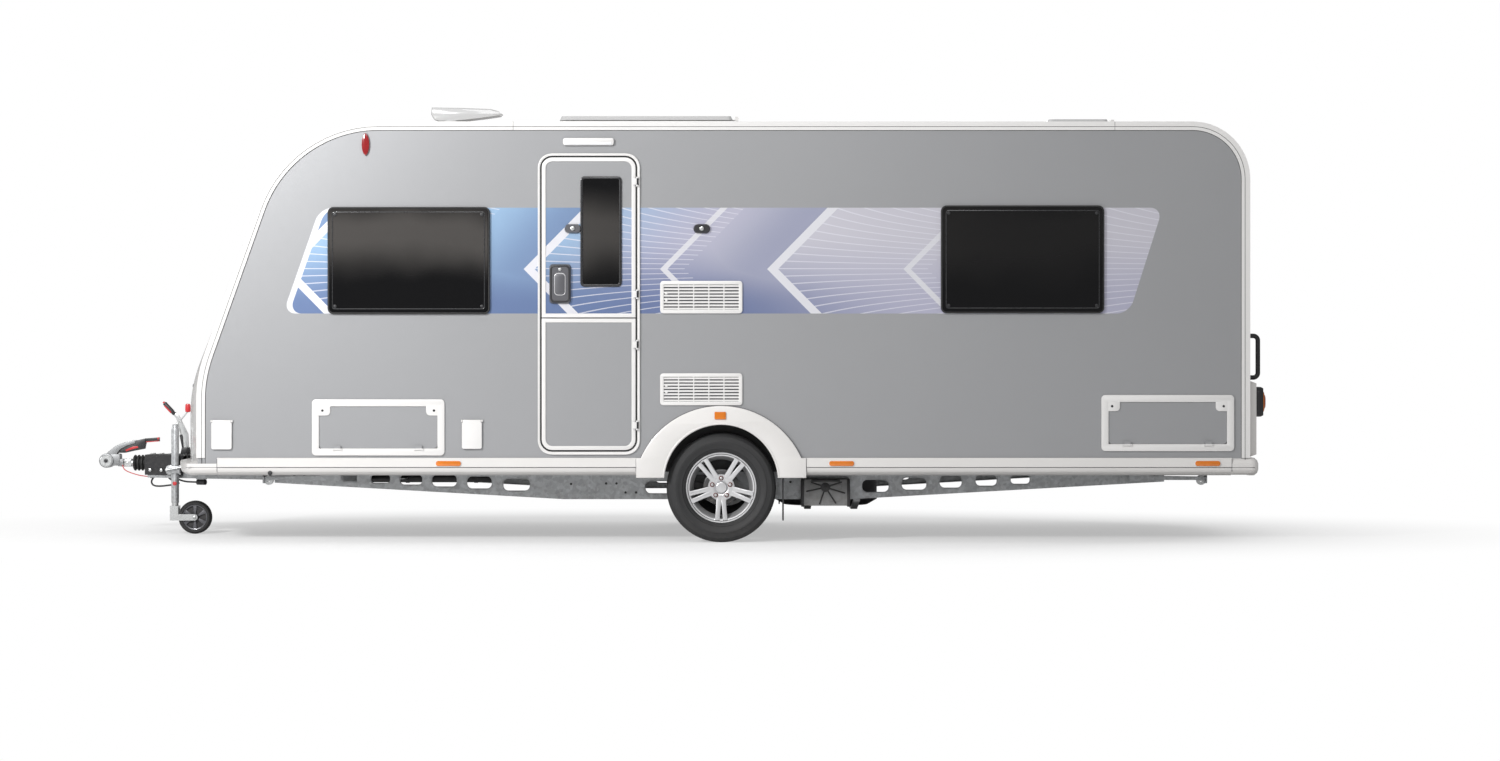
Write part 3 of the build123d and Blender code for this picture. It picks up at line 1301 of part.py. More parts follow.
# Axle: hexagonal tube, mounting plates, swing arms and stub axles
with BuildPart() as axle:
    arm_y = BOX_INNER_Y - ARM_THICK
    with BuildSketch(Plane.XZ.offset(-arm_y)):
        with Locations((AXLE_TUBE_X, AXLE_TUBE_Z)):
            RegularPolygon(AXLE_TUBE_RADIUS, 6)
    extrude(amount=2 * arm_y)
    for side in (NEAR, FAR):
        with BuildSketch(side_plane(side, CHASSIS_Y + SHEET)):
            with Locations((AXLE_TUBE_X, AXLE_TUBE_Z + 20)):
                RectangleRounded(210, 150, CORNER)
        extrude(amount=outwards(side, AXLE_PLATE))
        with BuildSketch(side_plane(side, arm_y)):
            with Locations((AXLE_TUBE_X, AXLE_TUBE_Z)):
                Circle(52)
            with Locations((AXLE_X, TYRE_RADIUS)):
                Circle(40)
            with BuildLine():
                Polyline(
                    (AXLE_TUBE_X, AXLE_TUBE_Z - 42),
                    (AXLE_X, TYRE_RADIUS - 36),
                    (AXLE_X, TYRE_RADIUS + 36),
                    (AXLE_TUBE_X, AXLE_TUBE_Z + 42),
                    close=True,
                )
            make_face()
        extrude(amount=outwards(side, ARM_THICK))
        with BuildSketch(side_plane(side, BOX_INNER_Y)):
            with Locations((AXLE_X, TYRE_RADIUS)):
                Circle(STUB_RADIUS)
        extrude(amount=outwards(side, WHEEL_Y - BOX_INNER_Y + 10))
axle.part.label = "axle"
export_step(axle.part, "parts/axle.step")

# Wheels: cast rim with five pairs of spokes, hub, drum and tyre
for side, name in [(NEAR, "near"), (FAR, "far")]:
    centre = Vector(AXLE_X, side * WHEEL_Y, TYRE_RADIUS)
    # local x is the distance from the wheel's axis, local y points outwards
    half_plane = Plane(origin=centre, x_dir=(1, 0, 0), z_dir=(0, 0, -side))
    spin_axis = Axis(centre, (0, 1, 0))
    half = RIM_WIDTH / 2
    with BuildPart() as rim:
        with BuildSketch(half_plane):
            with BuildLine():
                Polyline(
                    (RIM_RADIUS - RIM_WALL, -half),
                    (RIM_LIP, -half),
                    (RIM_LIP, RIM_WALL - half),
                    (RIM_RADIUS, RIM_WALL - half),
                    (RIM_RADIUS, half - RIM_WALL),
                    (RIM_LIP, half - RIM_WALL),
                    (RIM_LIP, half),
                    (RIM_RADIUS - RIM_WALL, half),
                    close=True,
                )
            make_face()
            with BuildLine():
                Polyline(
                    (STUB_RADIUS + RUNNING_FIT, -30),
                    (DRUM_RADIUS, -30),
                    (DRUM_RADIUS, -30 + DRUM_DEPTH),
                    (STUB_RADIUS + RUNNING_FIT, -30 + DRUM_DEPTH),
                    close=True,
                )
            make_face()
        revolve(axis=spin_axis)
        with BuildSketch(side_plane(side, WHEEL_Y + 30)):
            with Locations((AXLE_X, TYRE_RADIUS)):
                Circle(76)
                for pair in range(SPOKE_PAIRS):
                    for lean in (-SPOKE_ANGLE, SPOKE_ANGLE):
                        with Locations(Rotation(0, 0, -90 + 360 / SPOKE_PAIRS * pair + lean)):
                            with Locations((RIM_RADIUS / 2, 0)):
                                Rectangle(RIM_RADIUS - 4, 22)
        extrude(amount=outwards(side, 26))
    rim.part.label = f"wheel_rim_{name}"
    export_step(rim.part, f"parts/wheel_rim_{name}.step")

    with BuildPart() as tyre:
        with BuildSketch(half_plane):
            with BuildLine():
                half_tyre = TYRE_WIDTH / 2
                seat = half - RIM_WALL - FIT
                FilletPolyline(
                    (RIM_RADIUS + FIT, -seat),
                    (RIM_LIP + 8, -seat),
                    (RIM_LIP + 12, -half_tyre + 14),
                    (TYRE_RADIUS - 60, -half_tyre),
                    (TYRE_RADIUS - 8, -half_tyre + 16),
                    (TYRE_RADIUS, -half_tyre + 34),
                    (TYRE_RADIUS, half_tyre - 34),
                    (TYRE_RADIUS - 8, half_tyre - 16),
                    (TYRE_RADIUS - 60, half_tyre),
                    (RIM_LIP + 12, half_tyre - 14),
                    (RIM_LIP + 8, seat),
                    (RIM_RADIUS + FIT, seat),
                    radius=0,
                    close=True,
                )
            make_face()
        revolve(axis=spin_axis)
    tyre.part.label = f"tyre_{name}"
    export_step(tyre.part, f"parts/tyre_{name}.step")

# Spare wheel lying on its straps
with BuildPart() as spare_wheel:
    spare_z = SPARE_STRAP_Z + SPARE_STRAP + TYRE_WIDTH / 2
    with BuildSketch(Plane(origin=(SPARE_X, 0, spare_z), x_dir=(1, 0, 0), z_dir=(0, -1, 0))):
        with BuildLine():
            half_tyre = TYRE_WIDTH / 2
            Polyline(
                (RIM_RADIUS - RIM_WALL, -half_tyre + 25),
                (RIM_LIP, -half_tyre + 12),
                (TYRE_RADIUS - 60, -half_tyre),
                (TYRE_RADIUS, -half_tyre + 34),
                (TYRE_RADIUS, half_tyre - 34),
                (TYRE_RADIUS - 60, half_tyre),
                (RIM_LIP, half_tyre - 12),
                (RIM_RADIUS - RIM_WALL, half_tyre - 25),
                close=True,
            )
        make_face()
        with Locations(((RIM_RADIUS + 35) / 2, 20)):
            Rectangle(RIM_RADIUS - 35, 8)
    revolve(axis=Axis((SPARE_X, 0, spare_z), (0, 0, 1)))
spare_wheel.part.label = "spare_wheel"
export_step(spare_wheel.part, "parts/spare_wheel.step")

# Square unit on the near chassis rail
with BuildPart() as underfloor_unit:
    with BuildSketch(side_plane(NEAR, CHASSIS_Y + SHEET)):
        window_shape(UNIT, CORNER / 2)
    extrude(amount=UNIT_DEPTH)
underfloor_unit.part.label = "underfloor_unit"
export_step(underfloor_unit.part, "parts/underfloor_unit.step")


def cover_half(x):
    """Half width of the overrun housing at this x: it runs just outside the drawbars."""
    return drawbar_y(x) + drawbar_half + FIT + HOUSING_WALL


# Overrun housing over the drawbars' noses
with BuildPart() as overrun_housing:
    for wall, low, high, mode in [
        (0, HOUSING_BOTTOM, HOUSING_TOP, Mode.ADD),
        (HOUSING_WALL, HOUSING_BOTTOM, HOUSING_TOP - HOUSING_WALL, Mode.SUBTRACT),
    ]:
        with BuildSketch(Plane.XY.offset(low)):
            with BuildLine():
                front_x, rear_x = HOUSING_FRONT + wall, HOUSING_REAR
                front_y, rear_y = cover_half(front_x) - wall, cover_half(rear_x) - wall
                Polyline(
                    (front_x, -front_y), (rear_x, -rear_y), (rear_x, rear_y), (front_x, front_y), close=True
                )
            make_face()
        extrude(amount=high - low, mode=mode)
    with BuildSketch(Plane.YZ.offset(HOUSING_FRONT)):
        with Locations((0, SHAFT_Z)):
            Circle(SHAFT_RADIUS + SLEEVE_WALL)
    extrude(amount=HOUSING_REAR - HOUSING_FRONT - 20)
    cable_x, cable_y, cable_z = CABLE_ROUTE[-1]
    with BuildSketch(Plane.YZ.offset(cable_x)):
        with Locations((cable_y, (HOUSING_BOTTOM + cable_z) / 2)):
            Rectangle(2 * LUG_HALF, HOUSING_BOTTOM - cable_z + 2 * LUG_HALF)
    extrude(amount=2 * LUG_HALF)
    with BuildSketch(Plane.XY.offset(HOUSING_BOTTOM)):
        with Locations((cable_x + LUG_HALF, (cable_y - LUG_HALF) / 2)):
            Rectangle(2 * LUG_HALF, LUG_HALF - cable_y)
    extrude(amount=HOUSING_TOP - HOUSING_BOTTOM - HOUSING_WALL)
    lead_x, lead_y, lead_z = LEAD_ROUTE[0]
    with BuildSketch(Plane.XY.offset(lead_z)):
        with Locations((lead_x, lead_y)):
            Circle(LEAD_DIAMETER)
    extrude(amount=SHAFT_Z - lead_z)
    hook_x, hook_y, hook_z = LEAD_HOOK
    hook_half = LEAD_DIAMETER / 2 + HOOK_GAP
    with BuildSketch(Plane.YZ.offset(hook_x - LUG_HALF)):
        with BuildLine():
            Polyline(
                (hook_y - hook_half, hook_z - hook_half),
                (hook_y + hook_half, hook_z - hook_half),
                (hook_y + hook_half, SHAFT_Z),
                (hook_y + hook_half + HOUSING_WALL, SHAFT_Z),
                (hook_y + hook_half + HOUSING_WALL, hook_z - hook_half - HOUSING_WALL),
                (hook_y - hook_half, hook_z - hook_half - HOUSING_WALL),
                close=True,
            )
        make_face()
    extrude(amount=2 * LUG_HALF)
overrun_housing.part.label = "overrun_housing"
export_step(overrun_housing.part, "parts/overrun_housing.step")

# Bellows
with BuildPart() as bellows:
    with BuildSketch(Plane(origin=(0, 0, SHAFT_Z), x_dir=(1, 0, 0), z_dir=(0, -1, 0))):
        with BuildLine():
            pitch = (HOUSING_FRONT - BELLOWS_FRONT) / BELLOWS_RIBS
            crest, valley = BELLOWS_RADIUS, BELLOWS_RADIUS - 13
            points = [(BELLOWS_FRONT, SHAFT_RADIUS + FIT)]
            for rib in range(BELLOWS_RIBS):
                start = BELLOWS_FRONT + rib * pitch
                points += [(start, valley), (start + 0.35 * pitch, crest), (start + 0.65 * pitch, crest)]
            points += [(HOUSING_FRONT, valley), (HOUSING_FRONT, SHAFT_RADIUS + FIT)]
            Polyline(*points, close=True)
        make_face()
    revolve(axis=Axis((0, 0, SHAFT_Z), (1, 0, 0)))
bellows.part.label = "bellows"
export_step(bellows.part, "parts/bellows.step")

# Coupling head with its ball socket, round pads and shaft
with BuildPart() as coupling_head:
    with BuildSketch(Plane.XY.offset(BALL_Z - HEAD_BELOW)):
        with Locations((BALL_X, 0)):
            Circle(HEAD_RADIUS - 8)
        with Locations((BALL_X + HEAD_LENGTH / 2, 0)):
            Rectangle(HEAD_LENGTH, 64)
    extrude(amount=HEAD_BELOW + HEAD_RADIUS)
    with BuildSketch(Plane.XZ.offset(-HEAD_RADIUS - 2)):
        with Locations((BALL_X, BALL_Z)):
            Circle(HEAD_RADIUS)
    extrude(amount=2 * HEAD_RADIUS + 4)
    with BuildSketch(Plane.YZ.offset(BALL_X + HEAD_LENGTH - 10)):
        with Locations((0, SHAFT_Z)):
            Circle(SHAFT_RADIUS)
    extrude(amount=HOUSING_FRONT - BALL_X - HEAD_LENGTH + 10)
    with BuildSketch(Plane.XY.offset(BALL_Z - HEAD_RADIUS)):
        with Locations((BALL_X, 0)):
            Circle(BALL_RADIUS)
    extrude(amount=HEAD_RADIUS, mode=Mode.SUBTRACT)
    cable_x, cable_y, cable_z = CABLE_ROUTE[0]
    with BuildSketch(Plane.XY.offset(cable_z)):
        with Locations((cable_x, cable_y / 2 - LUG_HALF / 2)):
            Rectangle(2 * LUG_HALF, -cable_y + LUG_HALF)
    extrude(amount=2 * LUG_HALF)
coupling_head.part.label = "coupling_head"
export_step(coupling_head.part, "parts/coupling_head.step")

# Coupling handle arching back over the shaft
with BuildPart() as coupling_handle:
    with BuildSketch(Plane.XZ.offset(-HANDLE_WIDTH / 2)):
        with BuildLine():
            base_z = BALL_Z + HEAD_RADIUS + FIT
            Polyline(*[(BALL_X + along, base_z + up) for along, up in HANDLE_SHAPE], close=True)
        make_face()
    extrude(amount=HANDLE_WIDTH)
coupling_handle.part.label = "coupling_handle"
export_step(coupling_handle.part, "parts/coupling_handle.step")

# Handbrake lever and its strut, standing on the housing
with BuildPart() as handbrake_lever:
    for y, points in [(-LEVER_THICK - LEVER_APART, LEVER_SHAPE), (LEVER_APART, STRUT_SHAPE)]:
        with BuildSketch(Plane.XZ.offset(-y)):
            with BuildLine():
                Polyline(*[(LEVER_X + along, HOUSING_TOP + up) for along, up in points], close=True)
            make_face()
        extrude(amount=LEVER_THICK)
handbrake_lever.part.label = "handbrake_lever"
export_step(handbrake_lever.part, "parts/handbrake_lever.step")

# Jockey post with its clamp and crank
JOCKEY_Y = -(cover_half(JOCKEY_X) + POST_RADIUS + 6)
with BuildPart() as jockey_post:
    with BuildSketch(Plane.XY.offset(POST_BOTTOM)):
        with Locations((JOCKEY_X, JOCKEY_Y)):
            Circle(POST_RADIUS)
            Circle(POST_RADIUS - POST_WALL, mode=Mode.SUBTRACT)
    extrude(amount=POST_TOP - POST_BOTTOM)
    with BuildSketch(Plane.XY.offset(POST_TOP)):
        with Locations((JOCKEY_X, JOCKEY_Y)):
            Circle(POST_RADIUS)
    extrude(amount=34, taper=15)
    with BuildSketch(Plane.XY.offset(HOUSING_BOTTOM + 5)):
        with BuildLine():
            Polyline(
                (JOCKEY_X - 55, JOCKEY_Y - POST_RADIUS - 4),
                (JOCKEY_X + 35, JOCKEY_Y - POST_RADIUS - 4),
                (JOCKEY_X + 35, -cover_half(JOCKEY_X + 35) - FIT),
                (JOCKEY_X - 55, -cover_half(JOCKEY_X - 55) - FIT),
                close=True,
            )
        make_face()
        with Locations((JOCKEY_X, JOCKEY_Y)):
            Circle(POST_RADIUS - POST_WALL, mode=Mode.SUBTRACT)
    extrude(amount=60)
    with BuildSketch(Plane.XZ.offset(-JOCKEY_Y - CRANK_THICK / 2)):
        with BuildLine():
            Polyline(
                (JOCKEY_X - CRANK_THICK, POST_TOP),
                (JOCKEY_X + CRANK_REACH - CRANK_THICK, POST_TOP + CRANK_RISE + 1),
                (JOCKEY_X + CRANK_REACH + CRANK_THICK, POST_TOP + CRANK_RISE + 1),
                (JOCKEY_X + CRANK_THICK, POST_TOP),
                close=True,
            )
        make_face()
    extrude(amount=CRANK_THICK)
    with BuildSketch(Plane.XY.offset(POST_TOP + CRANK_RISE)):
        with Locations((JOCKEY_X + CRANK_REACH, JOCKEY_Y)):
            Circle(KNOB_RADIUS)
    extrude(amount=KNOB_HEIGHT)
jockey_post.part.label = "jockey_post"
export_step(jockey_post.part, "parts/jockey_post.step")

# Sliding inner tube of the jockey post
with BuildPart() as jockey_tube:
    with BuildSketch(Plane.XY.offset(POST_BOTTOM - 20)):
        with Locations((JOCKEY_X, JOCKEY_Y)):
            Circle(INNER_TUBE_RADIUS)
    extrude(amount=INNER_TUBE_TOP - POST_BOTTOM + 20)
jockey_tube.part.label = "jockey_tube"
export_step(jockey_tube.part, "parts/jockey_tube.step")

# Swivelling fork
FORK_CROWN_Z = POST_BOTTOM - 20 - FIT - 12
with BuildPart() as jockey_fork:
    fork_inner = JOCKEY_WIDTH / 2 + FORK_GAP
    with BuildSketch(Plane.XY.offset(FORK_CROWN_Z)):
        with Locations((JOCKEY_X, JOCKEY_Y)):
            Rectangle(2 * FORK_HALF, 2 * fork_inner + 2 * FORK_PLATE)
    extrude(amount=12)
    for side in (NEAR, FAR):
        with BuildSketch(Plane.XZ.offset(-(JOCKEY_Y + side * fork_inner))):
            with BuildLine():
                Polyline(
                    (JOCKEY_X - FORK_HALF, FORK_CROWN_Z + 12),
                    (JOCKEY_X - FORK_HALF, JOCKEY_RADIUS - FORK_ARM),
                    (JOCKEY_X + TRAIL, JOCKEY_RADIUS - FORK_ARM),
                    (JOCKEY_X + TRAIL, JOCKEY_RADIUS + FORK_ARM),
                    (JOCKEY_X + FORK_HALF, JOCKEY_RADIUS + FORK_ARM),
                    (JOCKEY_X + FORK_HALF, FORK_CROWN_Z + 12),
                    close=True,
                )
            make_face()
            with Locations((JOCKEY_X + TRAIL, JOCKEY_RADIUS)):
                Circle(FORK_ARM)
        extrude(amount=outwards(side, FORK_PLATE))
    with BuildSketch(Plane.XZ.offset(-(JOCKEY_Y - fork_inner))):
        with Locations((JOCKEY_X + TRAIL, JOCKEY_RADIUS)):
            Circle(8)
    extrude(amount=-2 * fork_inner)
jockey_fork.part.label = "jockey_fork"
export_step(jockey_fork.part, "parts/jockey_fork.step")

# Jockey wheel
with BuildPart() as jockey_wheel:
    wheel_plane = Plane(
        origin=(JOCKEY_X + TRAIL, JOCKEY_Y, JOCKEY_RADIUS), x_dir=(1, 0, 0), z_dir=(0, 0, 1)
    )
    with BuildSketch(wheel_plane):
        with BuildLine():
            half = JOCKEY_WIDTH / 2
            Polyline(
                (8 + RUNNING_FIT, -half),
                (24, -half),
                (24, -8),
                (JOCKEY_RADIUS - 26, -8),
                (JOCKEY_RADIUS - 22, -half + 2),
                (JOCKEY_RADIUS - 8, -half),
                (JOCKEY_RADIUS, -half + 12),
                (JOCKEY_RADIUS, half - 12),
                (JOCKEY_RADIUS - 8, half),
                (JOCKEY_RADIUS - 22, half - 2),
                (JOCKEY_RADIUS - 26, 8),
                (24, 8),
                (24, half),
                (8 + RUNNING_FIT, half),
                close=True,
            )
        make_face()
    revolve(axis=Axis(wheel_plane.origin, (0, 1, 0)))
jockey_wheel.part.label = "jockey_wheel"
export_step(jockey_wheel.part, "parts/jockey_wheel.step")


def cord_tube(name, route, diameter):
    """Tube of a cord: straight runs joined by arcs as large as the runs allow. Prints the radii."""
    corners = [Vector(*point) for point in route]
    radii = []
    for before, corner, after in zip(corners, corners[1:], corners[2:]):
        first, second = corner - before, after - corner
        half_turn = radians(first.get_angle(second) / 2)
        radii.append(0.45 * min(first.length, second.length) / tan(half_turn))
    with BuildLine() as line:
        FilletPolyline(*corners, radius=radii)
    with BuildPart() as tube:
        with BuildSketch(Plane(origin=line.line @ 0, z_dir=line.line % 0)):
            Circle(diameter / 2)
        sweep(path=line.line)
    length = sum(edge.length for edge in line.line.edges())
    filled = tube.part.volume / (pi * diameter**2 / 4 * length)
    print(name, "length", round(length), "volume share", round(filled, 4))
    print(name, "radii", [round(radius) for radius in radii])
    return tube.part


# Cords under the coupling
breakaway_cable = cord_tube("breakaway_cable", CABLE_ROUTE, CABLE_DIAMETER)
breakaway_cable.label = "breakaway_cable"
export_step(breakaway_cable, "parts/breakaway_cable.step")
electric_lead = cord_tube("electric_lead", LEAD_ROUTE, LEAD_DIAMETER)
electric_lead.label = "electric_lead"
export_step(electric_lead, "parts/electric_lead.step")

# Plug of the lead, parked in its saddle under the near drawbar
plug_start = Vector(*LEAD_ROUTE[-1])
plug_way = (plug_start - Vector(*LEAD_ROUTE[-2])).normalized()
with BuildPart() as lead_plug:
    with BuildSketch(Plane(origin=plug_start, z_dir=plug_way)):
        Circle(PLUG_RADIUS)
    extrude(amount=PLUG_LENGTH)
lead_plug.part.label = "lead_plug"
export_step(lead_plug.part, "parts/lead_plug.step")
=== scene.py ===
"""Dresses the travel caravan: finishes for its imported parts, and the fine pieces that ride on them.

Metres. +X points to the rear, the coupling is at -X, the entrance door is on the near side at -Y.
"""

import math

import bpy
from bpy.props import FloatProperty, FloatVectorProperty, IntProperty
from mathutils import Matrix, Vector


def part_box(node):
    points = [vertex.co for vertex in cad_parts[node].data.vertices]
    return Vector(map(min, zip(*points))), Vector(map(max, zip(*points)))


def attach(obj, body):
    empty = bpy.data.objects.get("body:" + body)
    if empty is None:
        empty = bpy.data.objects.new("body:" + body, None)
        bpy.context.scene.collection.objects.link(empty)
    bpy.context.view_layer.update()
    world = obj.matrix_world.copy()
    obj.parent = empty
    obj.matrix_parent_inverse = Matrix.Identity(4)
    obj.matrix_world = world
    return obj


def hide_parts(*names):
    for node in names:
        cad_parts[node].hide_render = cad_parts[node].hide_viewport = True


bl_info = {
    "name": "Travel Caravan Dressing",
    "version": (1, 0, 0),
    "blender": (4, 5, 0),
    "location": "View3D > Sidebar > Caravan",
    "description": "Finishes, glazing, trims, wheels, hitch details and cords of a travel caravan",
    "category": "Object",
}

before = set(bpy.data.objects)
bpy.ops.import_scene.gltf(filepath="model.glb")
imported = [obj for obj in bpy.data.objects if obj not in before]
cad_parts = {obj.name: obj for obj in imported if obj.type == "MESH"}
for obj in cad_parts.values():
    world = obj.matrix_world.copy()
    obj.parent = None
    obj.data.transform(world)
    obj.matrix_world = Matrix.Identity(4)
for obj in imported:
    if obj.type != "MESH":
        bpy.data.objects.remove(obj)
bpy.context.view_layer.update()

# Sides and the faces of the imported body, in metres
NEAR = -1
FAR = 1
SIDES = {"near": NEAR, "far": FAR}
OUT = {NEAR: Vector((0, -1, 0)), FAR: Vector((0, 1, 0))}
WALL_FACE = 1.195
RAIL_FACE = 1.203
SKIRT_FACE = 1.215
SPAT_FACE = 1.225
FRONT_X = -2.749
REAR_X = 3.513
ROOF_Z = 2.503
WALL_BOTTOM = 0.430
AXLE_X = 0.369
# Front slope in degrees, a point on it (x, z) and the three rounded corners of the side view
FRONT_SLOPE = 19.6
SLOPE_POINT = (-2.4936, 1.708)
SIDE_RADII = (0.826, 0.765, 0.337)
# Turns of flat outlines: drawn in the side view as x and z, or in the rear view as y and z
SIDE_TURN = Matrix.Rotation(math.radians(90), 4, "X")
REAR_TURN = Matrix(((0, 0, 1, 0), (1, 0, 0, 0), (0, 1, 0, 0), (0, 0, 0, 1)))

# Routes of the two cords under the coupling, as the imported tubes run
CABLE_ROUTE = [
    (-3.468, -0.036, 0.440), (-3.464, -0.037, 0.410), (-3.443, -0.040, 0.390), (-3.405, -0.046, 0.376),
    (-3.365, -0.050, 0.364), (-3.325, -0.053, 0.357), (-3.285, -0.052, 0.353),
]
LEAD_ROUTE = [
    (-3.190, -0.010, 0.396), (-3.190, -0.012, 0.368), (-3.172, -0.022, 0.342), (-3.140, -0.044, 0.326),
    (-3.104, -0.078, 0.318), (-3.085, -0.120, 0.313), (-3.105, -0.160, 0.308), (-3.150, -0.172, 0.302),
    (-3.205, -0.160, 0.296), (-3.250, -0.130, 0.300), (-3.272, -0.092, 0.322), (-3.264, -0.062, 0.350),
    (-3.238, -0.048, 0.368), (-3.200, -0.052, 0.372), (-3.150, -0.078, 0.358), (-3.092, -0.130, 0.340),
    (-3.040, -0.182, 0.328), (-2.9924, -0.2185, 0.326), (-2.945, -0.240, 0.326),
]


def length_property(label, use, value):
    """Length setting in metres."""
    return FloatProperty(name=label, description=use, default=value, unit="LENGTH")


def colour_property(label, use, value):
    """Colour setting in linear light."""
    return FloatVectorProperty(
        name=label, description=use, subtype="COLOR", size=3, min=0, max=1, default=value
    )


class CaravanSizes(bpy.types.PropertyGroup):
    """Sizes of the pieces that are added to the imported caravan."""

    tread_steps: IntProperty(name="Tread steps", description="Blocks round each tyre", default=80, min=24)
    tread_depth: length_property("Tread depth", "Depth of the tyre's grooves", 0.007)
    gasket: length_property("Gasket", "Width of the window gaskets", 0.012)
    door_trim: length_property("Door trim", "Width of the white border of a door leaf", 0.024)
    livery_low: length_property("Livery bottom", "Height of the band's lower edge", 1.366)
    livery_high: length_property("Livery top", "Height of the band's upper edge", 1.996)
    cable: length_property("Breakaway cable", "Diameter of the red cable", 0.006)
    lead: length_property("Electric lead", "Diameter of the black lead", 0.011)


class CaravanColours(bpy.types.PropertyGroup):
    """Colours of the finishes."""

    panel: colour_property("Side panel", "Silver-grey side sheet", (0.312, 0.315, 0.324))
    lining: colour_property("Lining", "Inside face of walls and doors", (0.68, 0.67, 0.64))
    white: colour_property("White", "Gloss white shell and trims", (0.69, 0.68, 0.67))
    silver: colour_property("Moulding silver", "Skirts and lower mouldings", (0.66, 0.645, 0.63))
    glass: colour_property("Window", "Dark acrylic glazing", (0.003, 0.003, 0.0035))
    black: colour_property("Black plastic", "Moulded black plastic", (0.016, 0.016, 0.018))
    rubber: colour_property("Rubber", "Tyres and gaskets", (0.018, 0.018, 0.019))
    zinc: colour_property("Zinc", "Galvanised steel", (0.40, 0.41, 0.42))
    alloy: colour_property("Alloy", "Painted wheel rims", (0.62, 0.62, 0.63))
    casting: colour_property("Casting", "Cast coupling", (0.27, 0.275, 0.28))
    red: colour_property("Red", "Red grips and cable", (0.50, 0.018, 0.022))
    amber: colour_property("Amber", "Side markers", (0.62, 0.165, 0.008))
    deep_blue: colour_property("Deep blue", "Darkest colour of the livery", (0.085, 0.125, 0.27))
    sky_blue: colour_property("Sky blue", "Light blue of the livery", (0.27, 0.41, 0.58))
    lavender: colour_property("Lavender", "Middle colour of the livery", (0.38, 0.38, 0.50))
    pale: colour_property("Pale lavender", "Lightest colour of the livery", (0.52, 0.51, 0.57))
    dust: colour_property("Road dust", "Dust on the low parts", (0.20, 0.17, 0.14))


def sizes():
    """The size settings of the open scene."""
    return bpy.context.scene.caravan_sizes


def colours():
    """The colour settings of the open scene."""
    return bpy.context.scene.caravan_colours


# Modelling helpers


def clear_selection():
    """Object mode with nothing selected."""
    if bpy.context.mode != "OBJECT":
        bpy.ops.object.mode_set(mode="OBJECT")
    bpy.ops.object.select_all(action="DESELECT")


def only(piece):
    """Makes one piece the only selected and active one."""
    clear_selection()
    piece.select_set(True)
    bpy.context.view_layer.objects.active = piece
    return piece


def soften(piece, width):
    """Rounds the edges of a piece that are sharper than 40 degrees."""
    only(piece)
    modifier = piece.modifiers.new("Soft edges", "BEVEL")
    modifier.width = width
    modifier.segments = 2
    modifier.limit_method = "ANGLE"
    modifier.angle_limit = math.radians(40)
    modifier.use_clamp_overlap = True
    bpy.ops.object.modifier_apply(modifier=modifier.name)
    return piece


def block(low, high, bevel=0.0):
    """Rectangular block between two corners, with rounded edges."""
    low, high = Vector(low), Vector(high)
    clear_selection()
    bpy.ops.mesh.primitive_cube_add(size=1, location=(low + high) / 2)
    piece = bpy.context.active_object
    piece.scale = high - low
    bpy.ops.object.transform_apply(location=False, rotation=False, scale=True)
    return soften(piece, bevel) if bevel else piece


def rod(start, end, radius, sides=24, bevel=0.0, end_radius=None):
    """Round bar or cone from one point to another."""
    start, end = Vector(start), Vector(end)
    way = end - start
    clear_selection()
    bpy.ops.mesh.primitive_cone_add(
        vertices=sides,
        radius1=radius,
        radius2=radius if end_radius is None else end_radius,
        depth=way.length,
        location=(start + end) / 2,
        rotation=way.to_track_quat("Z", "Y").to_euler(),
    )
    piece = bpy.context.active_object
    return soften(piece, bevel) if bevel else piece


def stud(spot, way, low, high, radius, sides=24, bevel=0.0):
    """Round or six-sided bar that stands out from a spot, between two distances along a way."""
    spot, way = Vector(spot), Vector(way)
    return rod(spot + way * low, spot + way * high, radius, sides, bevel)


def lathe(profile, centre, axis, sides):
    """Turned form: a circle drawn out through the radii and distances of a profile, closed at its ends."""
    centre, axis = Vector(centre), Vector(axis).normalized()
    radius, distance = profile[0]
    clear_selection()
    bpy.ops.mesh.primitive_circle_add(
        vertices=sides,
        radius=radius,
        location=centre + axis * distance,
        rotation=axis.to_track_quat("Z", "Y").to_euler(),
    )
    piece = bpy.context.active_object
    bpy.ops.object.mode_set(mode="EDIT")
    bpy.ops.mesh.select_mode(type="EDGE")
    bpy.ops.mesh.select_all(action="SELECT")
    for next_radius, next_distance in profile[1:]:
        step = axis * (next_distance - distance)
        bpy.ops.mesh.extrude_edges_move(TRANSFORM_OT_translate={"value": step})
        growth = next_radius / radius
        if growth != 1:
            bpy.ops.transform.resize(value=(growth,) * 3, center_override=centre + axis * next_distance)
        radius, distance = next_radius, next_distance
    bpy.ops.mesh.select_all(action="SELECT")
    bpy.ops.mesh.remove_doubles(threshold=1e-5)
    bpy.ops.mesh.select_all(action="DESELECT")
    bpy.ops.mesh.select_non_manifold()
    bpy.ops.mesh.fill_holes(sides=0)
    bpy.ops.mesh.select_all(action="SELECT")
    bpy.ops.mesh.normals_make_consistent(inside=False)
    bpy.ops.object.mode_set(mode="OBJECT")
    return piece


def rounded(low_u, high_u, low_v, high_v, radius):
    """Points of a rectangle with round corners, seven for each."""
    corners = [
        (high_u - radius, high_v - radius, 0),
        (low_u + radius, high_v - radius, 90),
        (low_u + radius, low_v + radius, 180),
        (high_u - radius, low_v + radius, 270),
    ]
    points = []
    for u, v, start in corners:
        for step in range(7):
            angle = math.radians(start + 90 * step / 6)
            points.append((u + radius * math.cos(angle), v + radius * math.sin(angle)))
    return points


def mirrored(half, closed=True):
    """Profile that is the same on both sides of its middle, from its first half. A closed one ends where
    it starts."""
    whole = half + [(radius, -distance) for radius, distance in reversed(half)]
    return whole + whole[:1] if closed else whole


